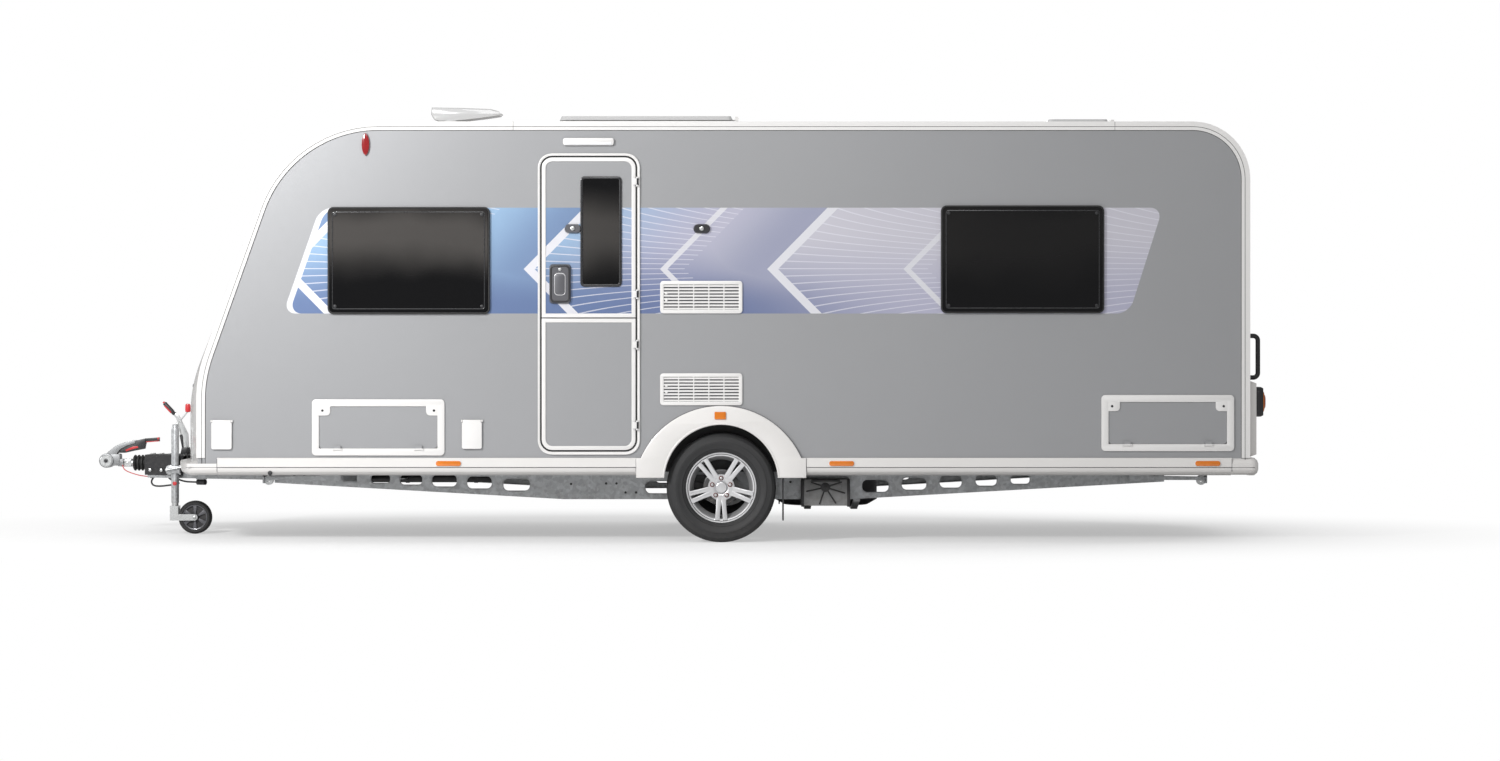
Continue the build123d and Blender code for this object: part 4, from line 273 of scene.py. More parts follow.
def square(low_u, high_u, low_v, high_v):
    """Points of a rectangle with sharp corners."""
    return [(low_u, low_v), (high_u, low_v), (high_u, high_v), (low_u, high_v)]


def grown(edges, by):
    """Edges of a rectangle moved outwards, or inwards where the distance is below zero."""
    low_u, high_u, low_v, high_v = edges
    return low_u - by, high_u + by, low_v - by, high_v + by


def frame_outlines(edges, radius, width):
    """Outer and inner outline of a border of this width."""
    return [rounded(*edges, radius), rounded(*grown(edges, -width), max(radius - width, 0.002))]


def round_corner(before, corner, after, radius, steps):
    """Points of the arc that rounds a corner."""
    here = Vector(corner)
    back = (Vector(before) - here).normalized()
    on = (Vector(after) - here).normalized()
    opening = back.angle(on)
    centre = here + (back + on).normalized() * radius / math.sin(opening / 2)
    spoke = here + back * radius / math.tan(opening / 2) - centre
    turn = math.copysign(math.pi - opening, back.x * on.y - back.y * on.x)
    return [tuple(centre + Matrix.Rotation(-turn * step / steps, 2) @ spoke) for step in range(steps + 1)]


def side_outline(inset):
    """Points of the body's side view drawn in by a distance, from the front foot round to the rear foot."""
    slope = math.radians(FRONT_SLOPE)
    front, rear, roof = FRONT_X + inset, REAR_X - inset, ROOF_Z - inset
    slope_x = SLOPE_POINT[0] + inset * math.cos(slope)
    slope_z = SLOPE_POINT[1] - inset * math.sin(slope)
    corners = [
        (front, WALL_BOTTOM),
        (front, slope_z + (front - slope_x) / math.tan(slope)),
        (slope_x + (roof - slope_z) * math.tan(slope), roof),
        (rear, roof),
        (rear, WALL_BOTTOM),
    ]
    points = [corners[0]]
    for before, corner, after, radius in zip(corners, corners[1:], corners[2:], SIDE_RADII):
        points += round_corner(before, corner, after, radius - inset, 14)
    return [*points, corners[-1]]


def arc_points(centre, radius, start, end):
    """Points of an arc between two angles in degrees."""
    angles = [math.radians(start + (end - start) * step / 40) for step in range(41)]
    return [(centre[0] + radius * math.cos(a), centre[1] + radius * math.sin(a)) for a in angles]


def front_spot(node_name, y, z):
    """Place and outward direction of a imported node's surface, met from 6 m in front of the middle."""
    hit, spot, normal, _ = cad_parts[node_name].ray_cast(Vector((-6, y, z)), Vector((1, 0, 0)))
    if not hit:
        raise RuntimeError(f"no surface of {node_name} at {y}, {z}")
    return spot, normal


def flat_form(outlines, thickness, turn, offset, bevel=0.0):
    """Plate of the given outlines, holes included, turned and moved to its middle plane."""
    curve = bpy.data.curves.new("outline", "CURVE")
    curve.dimensions = "2D"
    curve.fill_mode = "BOTH"
    curve.extrude = thickness / 2 - bevel
    curve.bevel_depth = bevel
    curve.bevel_resolution = 1
    curve.offset = -bevel
    for points in outlines:
        spline = curve.splines.new("POLY")
        spline.points.add(len(points) - 1)
        for point, (u, v) in zip(spline.points, points):
            point.co = (u, v, 0, 1)
        spline.use_cyclic_u = True
    piece = bpy.data.objects.new("outline", curve)
    bpy.context.scene.collection.objects.link(piece)
    only(piece)
    bpy.ops.object.convert(target="MESH")
    piece = bpy.context.active_object
    piece.matrix_world = Matrix.Translation(offset) @ turn
    bpy.ops.object.transform_apply(location=True, rotation=True, scale=True)
    bpy.ops.object.mode_set(mode="EDIT")
    bpy.ops.mesh.select_all(action="SELECT")
    bpy.ops.mesh.remove_doubles(threshold=1e-6)
    bpy.ops.mesh.normals_make_consistent(inside=False)
    bpy.ops.object.mode_set(mode="OBJECT")
    return piece


def side_plate(outlines, side, low, high, bevel=0.0):
    """Plate on a side wall between two distances from the middle of the caravan."""
    return flat_form(outlines, high - low, SIDE_TURN, (0, side * (low + high) / 2, 0), bevel)


def side_patch(edges, radius, side, low, high, bevel=0.0):
    """Plate with round corners on a side wall."""
    return side_plate([rounded(*edges, radius)], side, low, high, bevel)


def side_border(edges, radius, width, side, low, high, bevel=0.0):
    """Border of this width on a side wall."""
    return side_plate(frame_outlines(edges, radius, width), side, low, high, bevel)


def level_plate(outline, y_low, y_high, bevel=0.0):
    """Plate drawn in the side view between two distances along Y."""
    return flat_form([outline], abs(y_high - y_low), SIDE_TURN, (0, (y_low + y_high) / 2, 0), bevel)


def rear_plate(outlines, x_low, x_high, bevel=0.0):
    """Plate drawn in the rear view between two distances along X."""
    return flat_form(outlines, x_high - x_low, REAR_TURN, ((x_low + x_high) / 2, 0, 0), bevel)


def rear_patch(edges, radius, x_low, x_high, bevel=0.0):
    """Plate with round corners on the rear wall."""
    return rear_plate([rounded(*edges, radius)], x_low, x_high, bevel)


def round_line(name, points, radius, steps):
    """Round cord or bar along a smooth line through its points, as a curve."""
    curve = bpy.data.curves.new(name, "CURVE")
    curve.dimensions = "3D"
    curve.bevel_depth = radius
    curve.bevel_resolution = 4
    curve.use_fill_caps = True
    spline = curve.splines.new("NURBS")
    spline.points.add(len(points) - 1)
    for point, place in zip(spline.points, points):
        point.co = (*place, 1)
    spline.order_u = 3
    spline.use_endpoint_u = True
    spline.resolution_u = steps
    piece = bpy.data.objects.new(name, curve)
    bpy.context.scene.collection.objects.link(piece)
    return piece


def bent_rod(points, radius, corner):
    """Round bar bent through points, with a rounded bend at each."""
    path = [Vector(points[0])]
    for before, here, after in zip(points, points[1:], points[2:]):
        back, on = before - here, after - here
        path += [here + back.normalized() * corner, here, here + on.normalized() * corner]
    only(round_line("bar", [*path, Vector(points[-1])], radius, 4))
    bpy.ops.object.convert(target="MESH")
    return bpy.context.active_object


def joined(pieces):
    """Joins pieces into the first one."""
    clear_selection()
    for piece in pieces:
        piece.select_set(True)
    bpy.context.view_layer.objects.active = pieces[0]
    bpy.ops.object.join()
    return bpy.context.active_object


def settle(pieces, name, finish_name, body="caravan", replaces=(), angle=35, slot=None):
    """Finishes a piece, or a list of them joined into one: its place goes into its mesh, and it gets its
    name, material and body. The slot, the finish's own one if none is given, is worked out but not used."""
    piece = only(joined(pieces) if isinstance(pieces, list) else pieces)
    bpy.ops.object.transform_apply(location=True, rotation=True, scale=True)
    bpy.ops.object.shade_smooth_by_angle(angle=math.radians(angle))
    piece.name = name
    piece.data.name = name
    piece.data.materials.clear()
    piece.data.materials.append(MATERIALS[finish_name])
    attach(piece, body)
    slot = slot or SLOTS[finish_name]
    if replaces:
        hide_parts(*replaces)


# Shader groups


def new_group(name, inputs, outputs):
    """Empty shader group. Inputs have their defaults, None for a vector, and outputs their kinds.
    Returns the tree, the sockets that give its inputs and the sockets that take its outputs."""
    tree = bpy.data.node_groups.new(name, "ShaderNodeTree")
    for label, default in inputs.items():
        kind = "Vector" if default is None else "Color" if isinstance(default, tuple) else "Float"
        socket = tree.interface.new_socket(label, in_out="INPUT", socket_type=f"NodeSocket{kind}")
        if default is not None:
            socket.default_value = opaque(default)
    for label, kind in outputs.items():
        tree.interface.new_socket(label, in_out="OUTPUT", socket_type=f"NodeSocket{kind}")
    return tree, tree.nodes.new("NodeGroupInput").outputs, tree.nodes.new("NodeGroupOutput").inputs


def wire(tree, kind, inputs, **settings):
    """Adds a node, sets it, and fills its inputs with values or links."""
    node = tree.nodes.new(kind)
    for key, value in settings.items():
        setattr(node, key, value)
    for key, value in inputs.items():
        if isinstance(value, bpy.types.NodeSocket):
            tree.links.new(value, node.inputs[key])
        else:
            node.inputs[key].default_value = value
    return node


def maths(tree, operation, first, second=0.0):
    """Output of a math node."""
    inputs = {0: first, 1: second}
    return wire(tree, "ShaderNodeMath", inputs, operation=operation).outputs[0]


def times(tree, first, second):
    """Output of a product."""
    return maths(tree, "MULTIPLY", first, second)


def plus(tree, first, second):
    """Output of a sum."""
    return maths(tree, "ADD", first, second)


def minus(tree, first, second):
    """Output of a difference."""
    return maths(tree, "SUBTRACT", first, second)


def above(tree, first, second):
    """1 where the first value is greater, 0 elsewhere."""
    return maths(tree, "GREATER_THAN", first, second)


def below(tree, first, second):
    """1 where the first value is smaller, 0 elsewhere."""
    return maths(tree, "LESS_THAN", first, second)


def step_up(tree, value, low, high):
    """Smooth 0 to 1 as a value goes from low to high."""
    inputs = {"Value": value, "From Min": low, "From Max": high}
    return wire(tree, "ShaderNodeMapRange", inputs, interpolation_type="SMOOTHSTEP").outputs["Result"]


def opaque(value):
    """A colour with its fourth number added. Links and single numbers pass as they are."""
    if isinstance(value, (bpy.types.NodeSocket, int, float)):
        return value
    return (*value[:3], 1)


def blended(tree, share, first, second, blend_type="MIX"):
    """Colour mixed from two by a share."""
    # the colour sockets of a mix node: 6 and 7 in, 2 out
    inputs = {0: share, 6: opaque(first), 7: opaque(second)}
    return wire(tree, "ShaderNodeMix", inputs, data_type="RGBA", blend_type=blend_type).outputs[2]


def parts_of(tree, position):
    """X, Y and Z sockets of a position."""
    return wire(tree, "ShaderNodeSeparateXYZ", {"Vector": position}).outputs


def grey_of(tree, gain):
    """Grey with the same value in all three channels."""
    return wire(tree, "ShaderNodeCombineXYZ", {"X": gain, "Y": gain, "Z": gain}).outputs[0]


def tone_group():
    """Slow shade changes, roughness changes and dust that thickens towards the ground."""
    inputs = {
        "Position": None, "Colour": (0.5, 0.5, 0.5), "Dust Colour": (0.2, 0.17, 0.14), "Mottle": 0.04,
        "Mottle Scale": 3.0, "Roughness": 0.4, "Roughness Spread": 0.05, "Dust": 0.0, "Dust Height": 0.6,
    }
    tree, given, result = new_group("Surface tone", inputs, {"Colour": "Color", "Roughness": "Float"})
    position = {"Vector": given["Position"], "Scale": given["Mottle Scale"], "Detail": 4.0}
    clouds = wire(tree, "ShaderNodeTexNoise", position).outputs["Fac"]
    fine = wire(tree, "ShaderNodeTexNoise", {"Vector": given["Position"], "Scale": 38.0, "Detail": 5.0})
    swing = times(tree, minus(tree, clouds, 0.5), given["Mottle"])
    gain = plus(tree, times(tree, swing, 2.0), 1.0)
    toned = blended(tree, 1.0, given["Colour"], grey_of(tree, gain), "MULTIPLY")
    height = parts_of(tree, given["Position"])["Z"]
    low = step_up(tree, height, given["Dust Height"], 0.0)
    patchy = step_up(tree, fine.outputs["Fac"], 0.35, 0.7)
    mask = times(tree, times(tree, low, patchy), given["Dust"])
    tree.links.new(blended(tree, mask, toned, given["Dust Colour"]), result["Colour"])
    spread = times(tree, minus(tree, fine.outputs["Fac"], 0.5), given["Roughness Spread"])
    rough = plus(tree, given["Roughness"], times(tree, spread, 2.0))
    dusty = times(tree, mask, 0.3)
    tree.links.new(plus(tree, rough, dusty), result["Roughness"])
    return tree


def grain_group():
    """Fine surface relief as a normal."""
    inputs = {"Position": None, "Scale": 200.0, "Strength": 0.1, "Distance": 0.0005}
    tree, given, result = new_group("Fine grain", inputs, {"Normal": "Vector"})
    scale = {"Vector": given["Position"], "Scale": given["Scale"], "Detail": 3.0}
    noise = wire(tree, "ShaderNodeTexNoise", scale).outputs["Fac"]
    height = {"Strength": given["Strength"], "Distance": given["Distance"], "Height": noise}
    tree.links.new(wire(tree, "ShaderNodeBump", height).outputs["Normal"], result["Normal"])
    return tree


def spangle_group():
    """Crystals of hot-dip zinc: patches of lighter and darker grey with their own gloss."""
    inputs = {"Position": None, "Colour": (0.4, 0.41, 0.42), "Scale": 60.0, "Contrast": 0.35}
    tree, given, result = new_group("Zinc spangle", inputs, {"Colour": "Color", "Roughness": "Float"})
    cells = wire(tree, "ShaderNodeTexVoronoi", {"Vector": given["Position"], "Scale": given["Scale"]})
    shade = wire(tree, "ShaderNodeSeparateColor", {"Color": cells.outputs["Color"]}).outputs[0]
    gain = plus(tree, times(tree, minus(tree, shade, 0.5), given["Contrast"]), 1.0)
    shaded = blended(tree, 1.0, given["Colour"], grey_of(tree, gain), "MULTIPLY")
    tree.links.new(shaded, result["Colour"])
    tree.links.new(plus(tree, times(tree, shade, 0.25), 0.3), result["Roughness"])
    return tree


# Livery: level of the chevrons' bend, metres from bar to bar, shares of a bar where its dark part ends
# and its light part starts
LIVERY_BEND = 0.42
LIVERY_PITCH = 1.45
DARK_SHARE = 0.34
LIGHT_START = 0.385


def livery_group():
    """Band of slanting bars and fine lines, from blue at the front to pale lavender at the rear."""
    inputs = {
        "Position": None, "Ground": (0.4, 0.4, 0.4), "Lining": (0.7, 0.7, 0.68),
        "Deep Blue": (0.06, 0.1, 0.25), "Sky Blue": (0.2, 0.36, 0.6), "Lavender": (0.36, 0.36, 0.53),
        "Pale": (0.66, 0.66, 0.76), "Bottom": 1.366, "Top": 1.996,
    }
    tree, given, result = new_group("Livery band", inputs, {"Colour": "Color"})
    parts = parts_of(tree, given["Position"])
    x, y, z = parts["X"], parts["Y"], parts["Z"]
    height = minus(tree, given["Top"], given["Bottom"])
    level = maths(tree, "DIVIDE", minus(tree, z, given["Bottom"]), height)
    # chevrons: the bars lean forward below their bend and back above it
    lean = maths(tree, "ABSOLUTE", minus(tree, level, LIVERY_BEND))
    along = minus(tree, x, times(tree, lean, 0.62))
    # the band's ends slope: it starts at the front corner of the first window and ends behind the last
    from_middle = maths(tree, "ABSOLUTE", minus(tree, level, 0.5))
    near_edge = maths(tree, "DIVIDE", minus(tree, from_middle, 0.38), 0.12)
    past = maths(tree, "MAXIMUM", near_edge, 0.0)
    drawn_in = minus(tree, 1.0, maths(tree, "SQRT", minus(tree, 1.0, times(tree, past, past))))
    corner = times(tree, drawn_in, 0.075)
    from_front = minus(tree, minus(tree, x, times(tree, level, 0.22)), corner)
    from_rear = plus(tree, minus(tree, x, times(tree, level, 0.20)), corner)
    front = above(tree, from_front, -2.24)
    rear = below(tree, from_rear, 2.80)
    hem = below(tree, from_front, -2.205)
    low = above(tree, level, 0.0)
    high = below(tree, level, 1.0)
    outside = above(tree, maths(tree, "ABSOLUTE", y), WALL_FACE - 0.002)
    area = times(tree, times(tree, front, rear), times(tree, low, high))
    area = times(tree, area, outside)
    # long gradient of the band
    share = step_up(tree, along, -2.3, 3.0)
    first_half = step_up(tree, share, 0.16, 0.42)
    second_half = step_up(tree, share, 0.30, 0.62)
    tint = blended(tree, first_half, given["Sky Blue"], given["Lavender"])
    tint = blended(tree, second_half, tint, given["Pale"])
    darker = blended(tree, step_up(tree, share, 0.45, 0.80), given["Deep Blue"], given["Lavender"])
    # bars that repeat along the band, with a darker foot
    bar = maths(tree, "FRACT", maths(tree, "DIVIDE", plus(tree, along, 10.0), LIVERY_PITCH))
    dark_bar = times(tree, below(tree, bar, DARK_SHARE), step_up(tree, bar, -0.1, DARK_SHARE))
    foot = minus(tree, 1.0, step_up(tree, level, 0.05, 0.80))
    shade = maths(tree, "MAXIMUM", times(tree, dark_bar, 0.6), times(tree, foot, 0.85))
    inked = blended(tree, shade, tint, darker)
    gap = times(tree, above(tree, bar, DARK_SHARE), below(tree, bar, LIGHT_START))
    inked = blended(tree, gap, inked, (0.66, 0.66, 0.70))
    edge = times(tree, above(tree, bar, 0.90), below(tree, bar, 0.93))
    inked = blended(tree, edge, inked, (0.62, 0.62, 0.66))
    # fine white lines that fan across the light bars
    spoke = times(tree, minus(tree, level, LIVERY_BEND), plus(tree, bar, 0.55))
    line = below(tree, maths(tree, "FRACT", times(tree, spoke, 15.0)), 0.13)
    light = above(tree, bar, LIGHT_START)
    lines = times(tree, times(tree, line, light), 0.7)
    inked = blended(tree, lines, inked, (0.66, 0.66, 0.72))
    inked = blended(tree, hem, inked, (0.64, 0.64, 0.67))
    outer_face = above(tree, maths(tree, "ABSOLUTE", y), WALL_FACE - 0.015)
    ground = blended(tree, outer_face, given["Lining"], given["Ground"])
    tree.links.new(blended(tree, area, ground, inked), result["Colour"])
    return tree


GROUPS = {}


def group_node(tree, maker, inputs):
    """Places a shared group, built on its first use, with this material's own values."""
    if maker.__name__ not in GROUPS:
        GROUPS[maker.__name__] = maker()
    values = {key: opaque(value) for key, value in inputs.items()}
    return wire(tree, "ShaderNodeGroup", values, node_tree=GROUPS[maker.__name__])


# Materials

MATERIALS = {}

# Slot that goes with each finish
SLOTS = {
    "white trim": "trim_white", "silver moulding": "moulding_silver", "gasket": "rubber_black",
    "window frame": "window_dark", "painted shade dome": "rooflight_clear", "black plastic": "black_plastic",
    "grey plastic": "black_plastic", "zinc": "galvanised", "bright zinc": "galvanised",
    "dark tray": "galvanised", "alloy": "rim_silver", "bolt cover": "rim_silver", "rubber": "tyre",
    "casting": "casting_silver", "red plastic": "cord_red", "amber lens": "lamp_lens",
    "red lens": "lamp_lens", "clear lens": "lamp_lens", "black paint": "axle_black",
}


def new_material(name):
    """Material with its shader node and its place in object coordinates."""
    material = bpy.data.materials.new(name)
    material.use_nodes = True
    nodes = material.node_tree.nodes
    return material, nodes["Principled BSDF"], nodes.new("ShaderNodeTexCoord").outputs["Object"]


def finish(name, colour, roughness, metallic=0.0, coat=0.0, mottle=0.04, mottle_scale=2.5, spread=0.04,
           dust=0.0, dust_height=0.6, grain=0.08, grain_scale=260.0, pattern=None):
    """Material of one finish. A pattern function may give the colour socket from the tree and position."""
    material, shader, position = new_material(name)
    tree = material.node_tree
    surface = {
        "Position": position,
        "Colour": pattern(tree, position) if pattern else colour,
        "Dust Colour": colours().dust,
        "Mottle": mottle,
        "Mottle Scale": mottle_scale,
        "Roughness": roughness,
        "Roughness Spread": spread,
        "Dust": dust,
        "Dust Height": dust_height,
    }
    tone = group_node(tree, tone_group, surface)
    relief = group_node(tree, grain_group, {"Position": position, "Scale": grain_scale, "Strength": grain})
    tree.links.new(tone.outputs["Colour"], shader.inputs["Base Color"])
    tree.links.new(tone.outputs["Roughness"], shader.inputs["Roughness"])
    tree.links.new(relief.outputs["Normal"], shader.inputs["Normal"])
    shader.inputs["Metallic"].default_value = metallic
    shader.inputs["Coat Weight"].default_value = coat
    shader.inputs["Coat Roughness"].default_value = 0.05
    MATERIALS[name] = material
    return material


def zinc_pattern(tree, position):
    """Spangled zinc colour."""
    inputs = {"Position": position, "Colour": colours().zinc, "Scale": 55.0, "Contrast": 0.3}
    return group_node(tree, spangle_group, inputs).outputs["Colour"]


def livery_pattern(tree, position):
    """Side sheet with its printed band."""
    settings = colours()
    inputs = {
        "Position": position,
        "Ground": settings.panel,
        "Lining": settings.lining,
        "Deep Blue": settings.deep_blue,
        "Sky Blue": settings.sky_blue,
        "Lavender": settings.lavender,
        "Pale": settings.pale,
        "Bottom": sizes().livery_low,
        "Top": sizes().livery_high,
    }
    return group_node(tree, livery_group, inputs).outputs["Colour"]


def skirt_painted_shade(tree, position):
    """Skirt colour, darkened by painted shade on the lip below the groove, where the surface turns downwards.
    """
    height = parts_of(tree, position)["Z"]
    return blended(tree, step_up(tree, height, 0.450, 0.405), colours().silver, (0.42, 0.41, 0.40))


def pane_pattern(tree, position):
    """Dark acrylic with the paler haze of drawn blinds behind its upper half, painted lighter towards the
    front as painted light that falls off towards the rear.
    """
    parts = parts_of(tree, position)
    clouds = wire(tree, "ShaderNodeTexNoise", {"Vector": position, "Scale": 1.6, "Detail": 2.0})
    swing = times(tree, minus(tree, clouds.outputs["Fac"], 0.5), 0.35)
    level = plus(tree, parts["Z"], swing)
    haze = times(tree, step_up(tree, level, 1.50, 1.80), step_up(tree, level, 2.12, 1.88))
    # painted light: the haze is paler at the front and fades towards the rear, as the light falls off
    painted_front_light = step_up(tree, parts["X"], 2.2, -1.6)
    share = times(tree, haze, plus(tree, times(tree, painted_front_light, 0.9), 0.1))
    return blended(tree, share, colours().glass, (0.060, 0.056, 0.053))


def make_materials():
    """All finishes, by name."""
    paint = colours()
    finish("side sheet", paint.panel, 0.38, 0.3, 0.35, 0.05, 0.5, 0.03, grain=0.03, pattern=livery_pattern)
    finish("white shell", paint.white, 0.22, 0.0, 0.6, 0.02, 1.2, 0.03, 0.05, 0.8, grain=0.02)
    finish("white trim", paint.white, 0.30, 0.0, 0.3, 0.02, 3.0, 0.04, 0.05, 0.7, grain=0.05)
    moulded = (paint.silver, 0.34, 0.0, 0.3, 0.03, 2.0, 0.04, 0.22, 0.50, 0.06)
    finish("silver moulding", *moulded)
    # the skirt finish has painted shade darkening its lip below the groove
    finish("skirt", *moulded, pattern=skirt_painted_shade)
    panes = finish("dark glazing", paint.glass, 0.06, 0.0, 0.0, 0.1, 1.5, 0.02, grain=0.01,
                   pattern=pane_pattern)
    panes.node_tree.nodes["Principled BSDF"].inputs["Specular IOR Level"].default_value = 0.28
    finish("window frame", paint.black, 0.28, 0.0, 0.3, 0.05, 4.0, 0.05, grain=0.05)
    # grey finish of the white aerial and rooflight lids: painted shade standing in for their shading
    finish("painted shade dome", (0.50, 0.50, 0.50), 0.16, 0.0, 0.6, 0.03, 2.0, 0.03, grain=0.02)
    finish("black plastic", paint.black, 0.42, 0.0, 0.0, 0.1, 8.0, 0.08, 0.10, 0.7, 0.3, 900.0)
    finish("grey plastic", (0.10, 0.10, 0.11), 0.35, 0.2, 0.1, 0.08, 8.0, 0.06, grain=0.15, grain_scale=700.0)
    finish("rubber", paint.rubber, 0.6, 0.0, 0.0, 0.12, 10.0, 0.08, 0.05, 0.25, 0.3, 600.0)
    finish("gasket", (0.012, 0.012, 0.012), 0.6, 0.0, 0.0, 0.1, 10.0, 0.06, grain=0.2)
    finish("zinc", paint.zinc, 0.42, 0.75, 0.0, 0.12, 5.0, 0.12, 0.35, 0.5, grain=0.2, pattern=zinc_pattern)
    finish("bright zinc", (0.56, 0.57, 0.57), 0.30, 0.85, 0.0, 0.08, 9.0, 0.08, 0.15, 0.4, grain=0.1)
    finish("black paint", (0.02, 0.02, 0.022), 0.38, 0.0, 0.2, 0.1, 6.0, 0.08, 0.35, 0.6, grain=0.15)
    finish("casting", paint.casting, 0.48, 0.7, 0.0, 0.12, 14.0, 0.12, 0.1, 0.6, 0.5, 420.0)
    finish("alloy", paint.alloy, 0.32, 0.55, 0.5, 0.05, 8.0, 0.05, 0.12, 0.6, grain=0.05)
    finish("bolt cover", (0.11, 0.035, 0.03), 0.4, 0.1, 0.2, 0.1, 30.0, 0.06, grain=0.1)
    finish("red plastic", paint.red, 0.35, 0.0, 0.2, 0.08, 10.0, 0.05, grain=0.1)
    finish("red sheath", paint.red, 0.45, 0.0, 0.0, 0.12, 20.0, 0.08, 0.2, 0.6, grain=0.2)
    finish("amber lens", paint.amber, 0.12, 0.0, 0.7, 0.15, 30.0, 0.03, grain=0.25, grain_scale=180.0)
    finish("red lens", (0.24, 0.008, 0.010), 0.12, 0.0, 0.7, 0.15, 30.0, 0.03, grain=0.25, grain_scale=180.0)
    finish("clear lens", (0.72, 0.73, 0.74), 0.15, 0.0, 0.7, 0.1, 30.0, 0.03, grain=0.25, grain_scale=200.0)
    finish("dark tray", (0.24, 0.24, 0.24), 0.45, 0.5, 0.0, 0.3, 30.0, 0.12, 0.3, 0.5, grain=0.4)
    finish("floor board", (0.045, 0.04, 0.036), 0.7, 0.0, 0.0, 0.2, 6.0, 0.08, 0.3, 0.6, grain=0.3)


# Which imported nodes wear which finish
NODE_FINISH = {
    "side sheet": ["side_wall_near", "side_wall_far", "door_upper", "door_lower", "locker_door_front",
                   "locker_door_rear", "service_hatch"],
    "white shell": ["front_panel", "roof_panel", "rear_panel", "gas_locker_lid"],
    "silver moulding": ["rear_moulding", "wheel_spats"],
    "skirt": ["skirts"],
    "white trim": ["awning_rails", "door_frame", "hatch_frames", "fridge_vents", "inlet_flap_front",
                   "inlet_flap_rear", "rooflight_frames", "aerial"],
    "dark glazing": ["windows", "door_window"],
    # the rooflight lids are grey as painted shade over their white
    "painted shade dome": ["rooflight_lid_large", "rooflight_lid_small"],
    "floor board": ["floor", "gas_locker_bulkhead"],
    "zinc": ["chassis_rails", "drawbar_near", "drawbar_far", "cross_members", "steady_front_near",
             "steady_front_far", "steady_rear_near", "steady_rear_far", "underfloor_unit"],
    "bright zinc": ["handbrake_lever", "jockey_post", "jockey_tube", "jockey_fork"],
    "black paint": ["axle"],
    "casting": ["coupling_head"],
    "alloy": ["wheel_rim_near", "wheel_rim_far"],
    "rubber": ["tyre_near", "tyre_far", "spare_wheel", "bellows"],
    "black plastic": ["black_fittings", "overrun_housing", "coupling_handle", "wheel_boxes", "jockey_wheel",
                      "lead_plug"],
    "grey plastic": ["door_handle"],
    "amber lens": ["lamps"],
}


class CARAVAN_OT_finishes(bpy.types.Operator):
    """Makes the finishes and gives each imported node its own"""

    bl_idname = "caravan.finishes"
    bl_label = "Finishes"

    def execute(self, context):
        make_materials()
        for finish_name, node_names in NODE_FINISH.items():
            for node_name in node_names:
                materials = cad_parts[node_name].data.materials
                materials.clear()
                materials.append(MATERIALS[finish_name])
        return {"FINISHED"}


CAMERA_PLACE = (0.541, -17.2, 0.967)


class CARAVAN_OT_stage(bpy.types.Operator):
    """Adds the floor, the lamps, the white surround and the camera"""

    bl_idname = "caravan.stage"
    bl_label = "Stage"

    def execute(self, context):
        scene = context.scene
        clear_selection()
        bpy.ops.mesh.primitive_circle_add(vertices=96, radius=120, fill_type="NGON", location=(0, 0, 0))
        floor = context.active_object
        floor.name = "studio_floor"
        paper, sheet, place = new_material("studio floor")
        tree = paper.node_tree
        sheet.inputs["Base Color"].default_value = (0.88, 0.88, 0.88, 1)
        sheet.inputs["Roughness"].default_value = 0.9
        glow = wire(tree, "ShaderNodeEmission", {"Color": (1, 1, 1, 1), "Strength": 1.0})
        stretched = wire(tree, "ShaderNodeMapping", {"Vector": place, "Scale": (0.55, 1.0, 1.0)}).outputs[0]
        reach = wire(tree, "ShaderNodeVectorMath", {0: stretched}, operation="LENGTH").outputs["Value"]
        seen = tree.nodes.new("ShaderNodeLightPath").outputs["Is Camera Ray"]
        faded = times(tree, seen, maths(tree, "MAXIMUM", step_up(tree, reach, 0.6, 3.4), 0.45))
        mixed = wire(tree, "ShaderNodeMixShader", {0: faded, 1: sheet.outputs[0], 2: glow.outputs[0]})
        tree.links.new(mixed.outputs[0], tree.nodes["Material Output"].inputs["Surface"])
        floor.data.materials.append(paper)

        world = bpy.data.worlds.new("studio")
        world.use_nodes = True
        scene.world = world
        tree = world.node_tree
        surround = tree.nodes["Background"]
        surround.inputs["Strength"].default_value = 0.36
        white = wire(tree, "ShaderNodeBackground", {"Color": (1, 1, 1, 1), "Strength": 1.0})
        rays = tree.nodes.new("ShaderNodeLightPath").outputs
        seen = maths(tree, "MAXIMUM", rays["Is Camera Ray"], rays["Is Transmission Ray"])
        mixed = wire(tree, "ShaderNodeMixShader", {0: seen, 1: surround.outputs[0], 2: white.outputs[0]})
        surround.inputs["Color"].default_value = (1, 1, 1, 1)
        tree.links.new(mixed.outputs[0], tree.nodes["World Output"].inputs["Surface"])

        # name, place, target, size, power
        lamps = [
            ("key", (-5.1, -8.0, 4.6), (-1.6, 0, 1.6), 1.1, 620),
            ("near", (0.0, -11.0, 8.0), (0.5, 0, 1.0), 5.0, 330),
            ("front", (-11.0, 0.5, 3.0), (-2.8, 0, 1.2), 4.0, 200),
            ("top", (0.0, 0.0, 9.0), (0, 0, 0), 8.0, 140),
            ("back", (3.0, 9.0, 6.0), (0, 0, 1.2), 6.0, 220),
        ]
        for name, place, target, size, power in lamps:
            light = bpy.data.lights.new(name, "AREA")
            light.shape = "SQUARE"
            light.size = size
            light.energy = power
            lamp = bpy.data.objects.new(name, light)
            lamp.location = place
            lamp.rotation_euler = (Vector(target) - Vector(place)).to_track_quat("-Z", "Y").to_euler()
            scene.collection.objects.link(lamp)

        lens = bpy.data.cameras.new("camera")
        lens.lens = 64.5
        lens.sensor_width = 36
        lens.clip_end = 500
        camera = bpy.data.objects.new("camera", lens)
        camera.location = CAMERA_PLACE
        camera.rotation_euler = (math.radians(90), 0, 0)
        scene.collection.objects.link(camera)
        scene.camera = camera
        scene.view_settings.view_transform = "Standard"
        return {"FINISHED"}


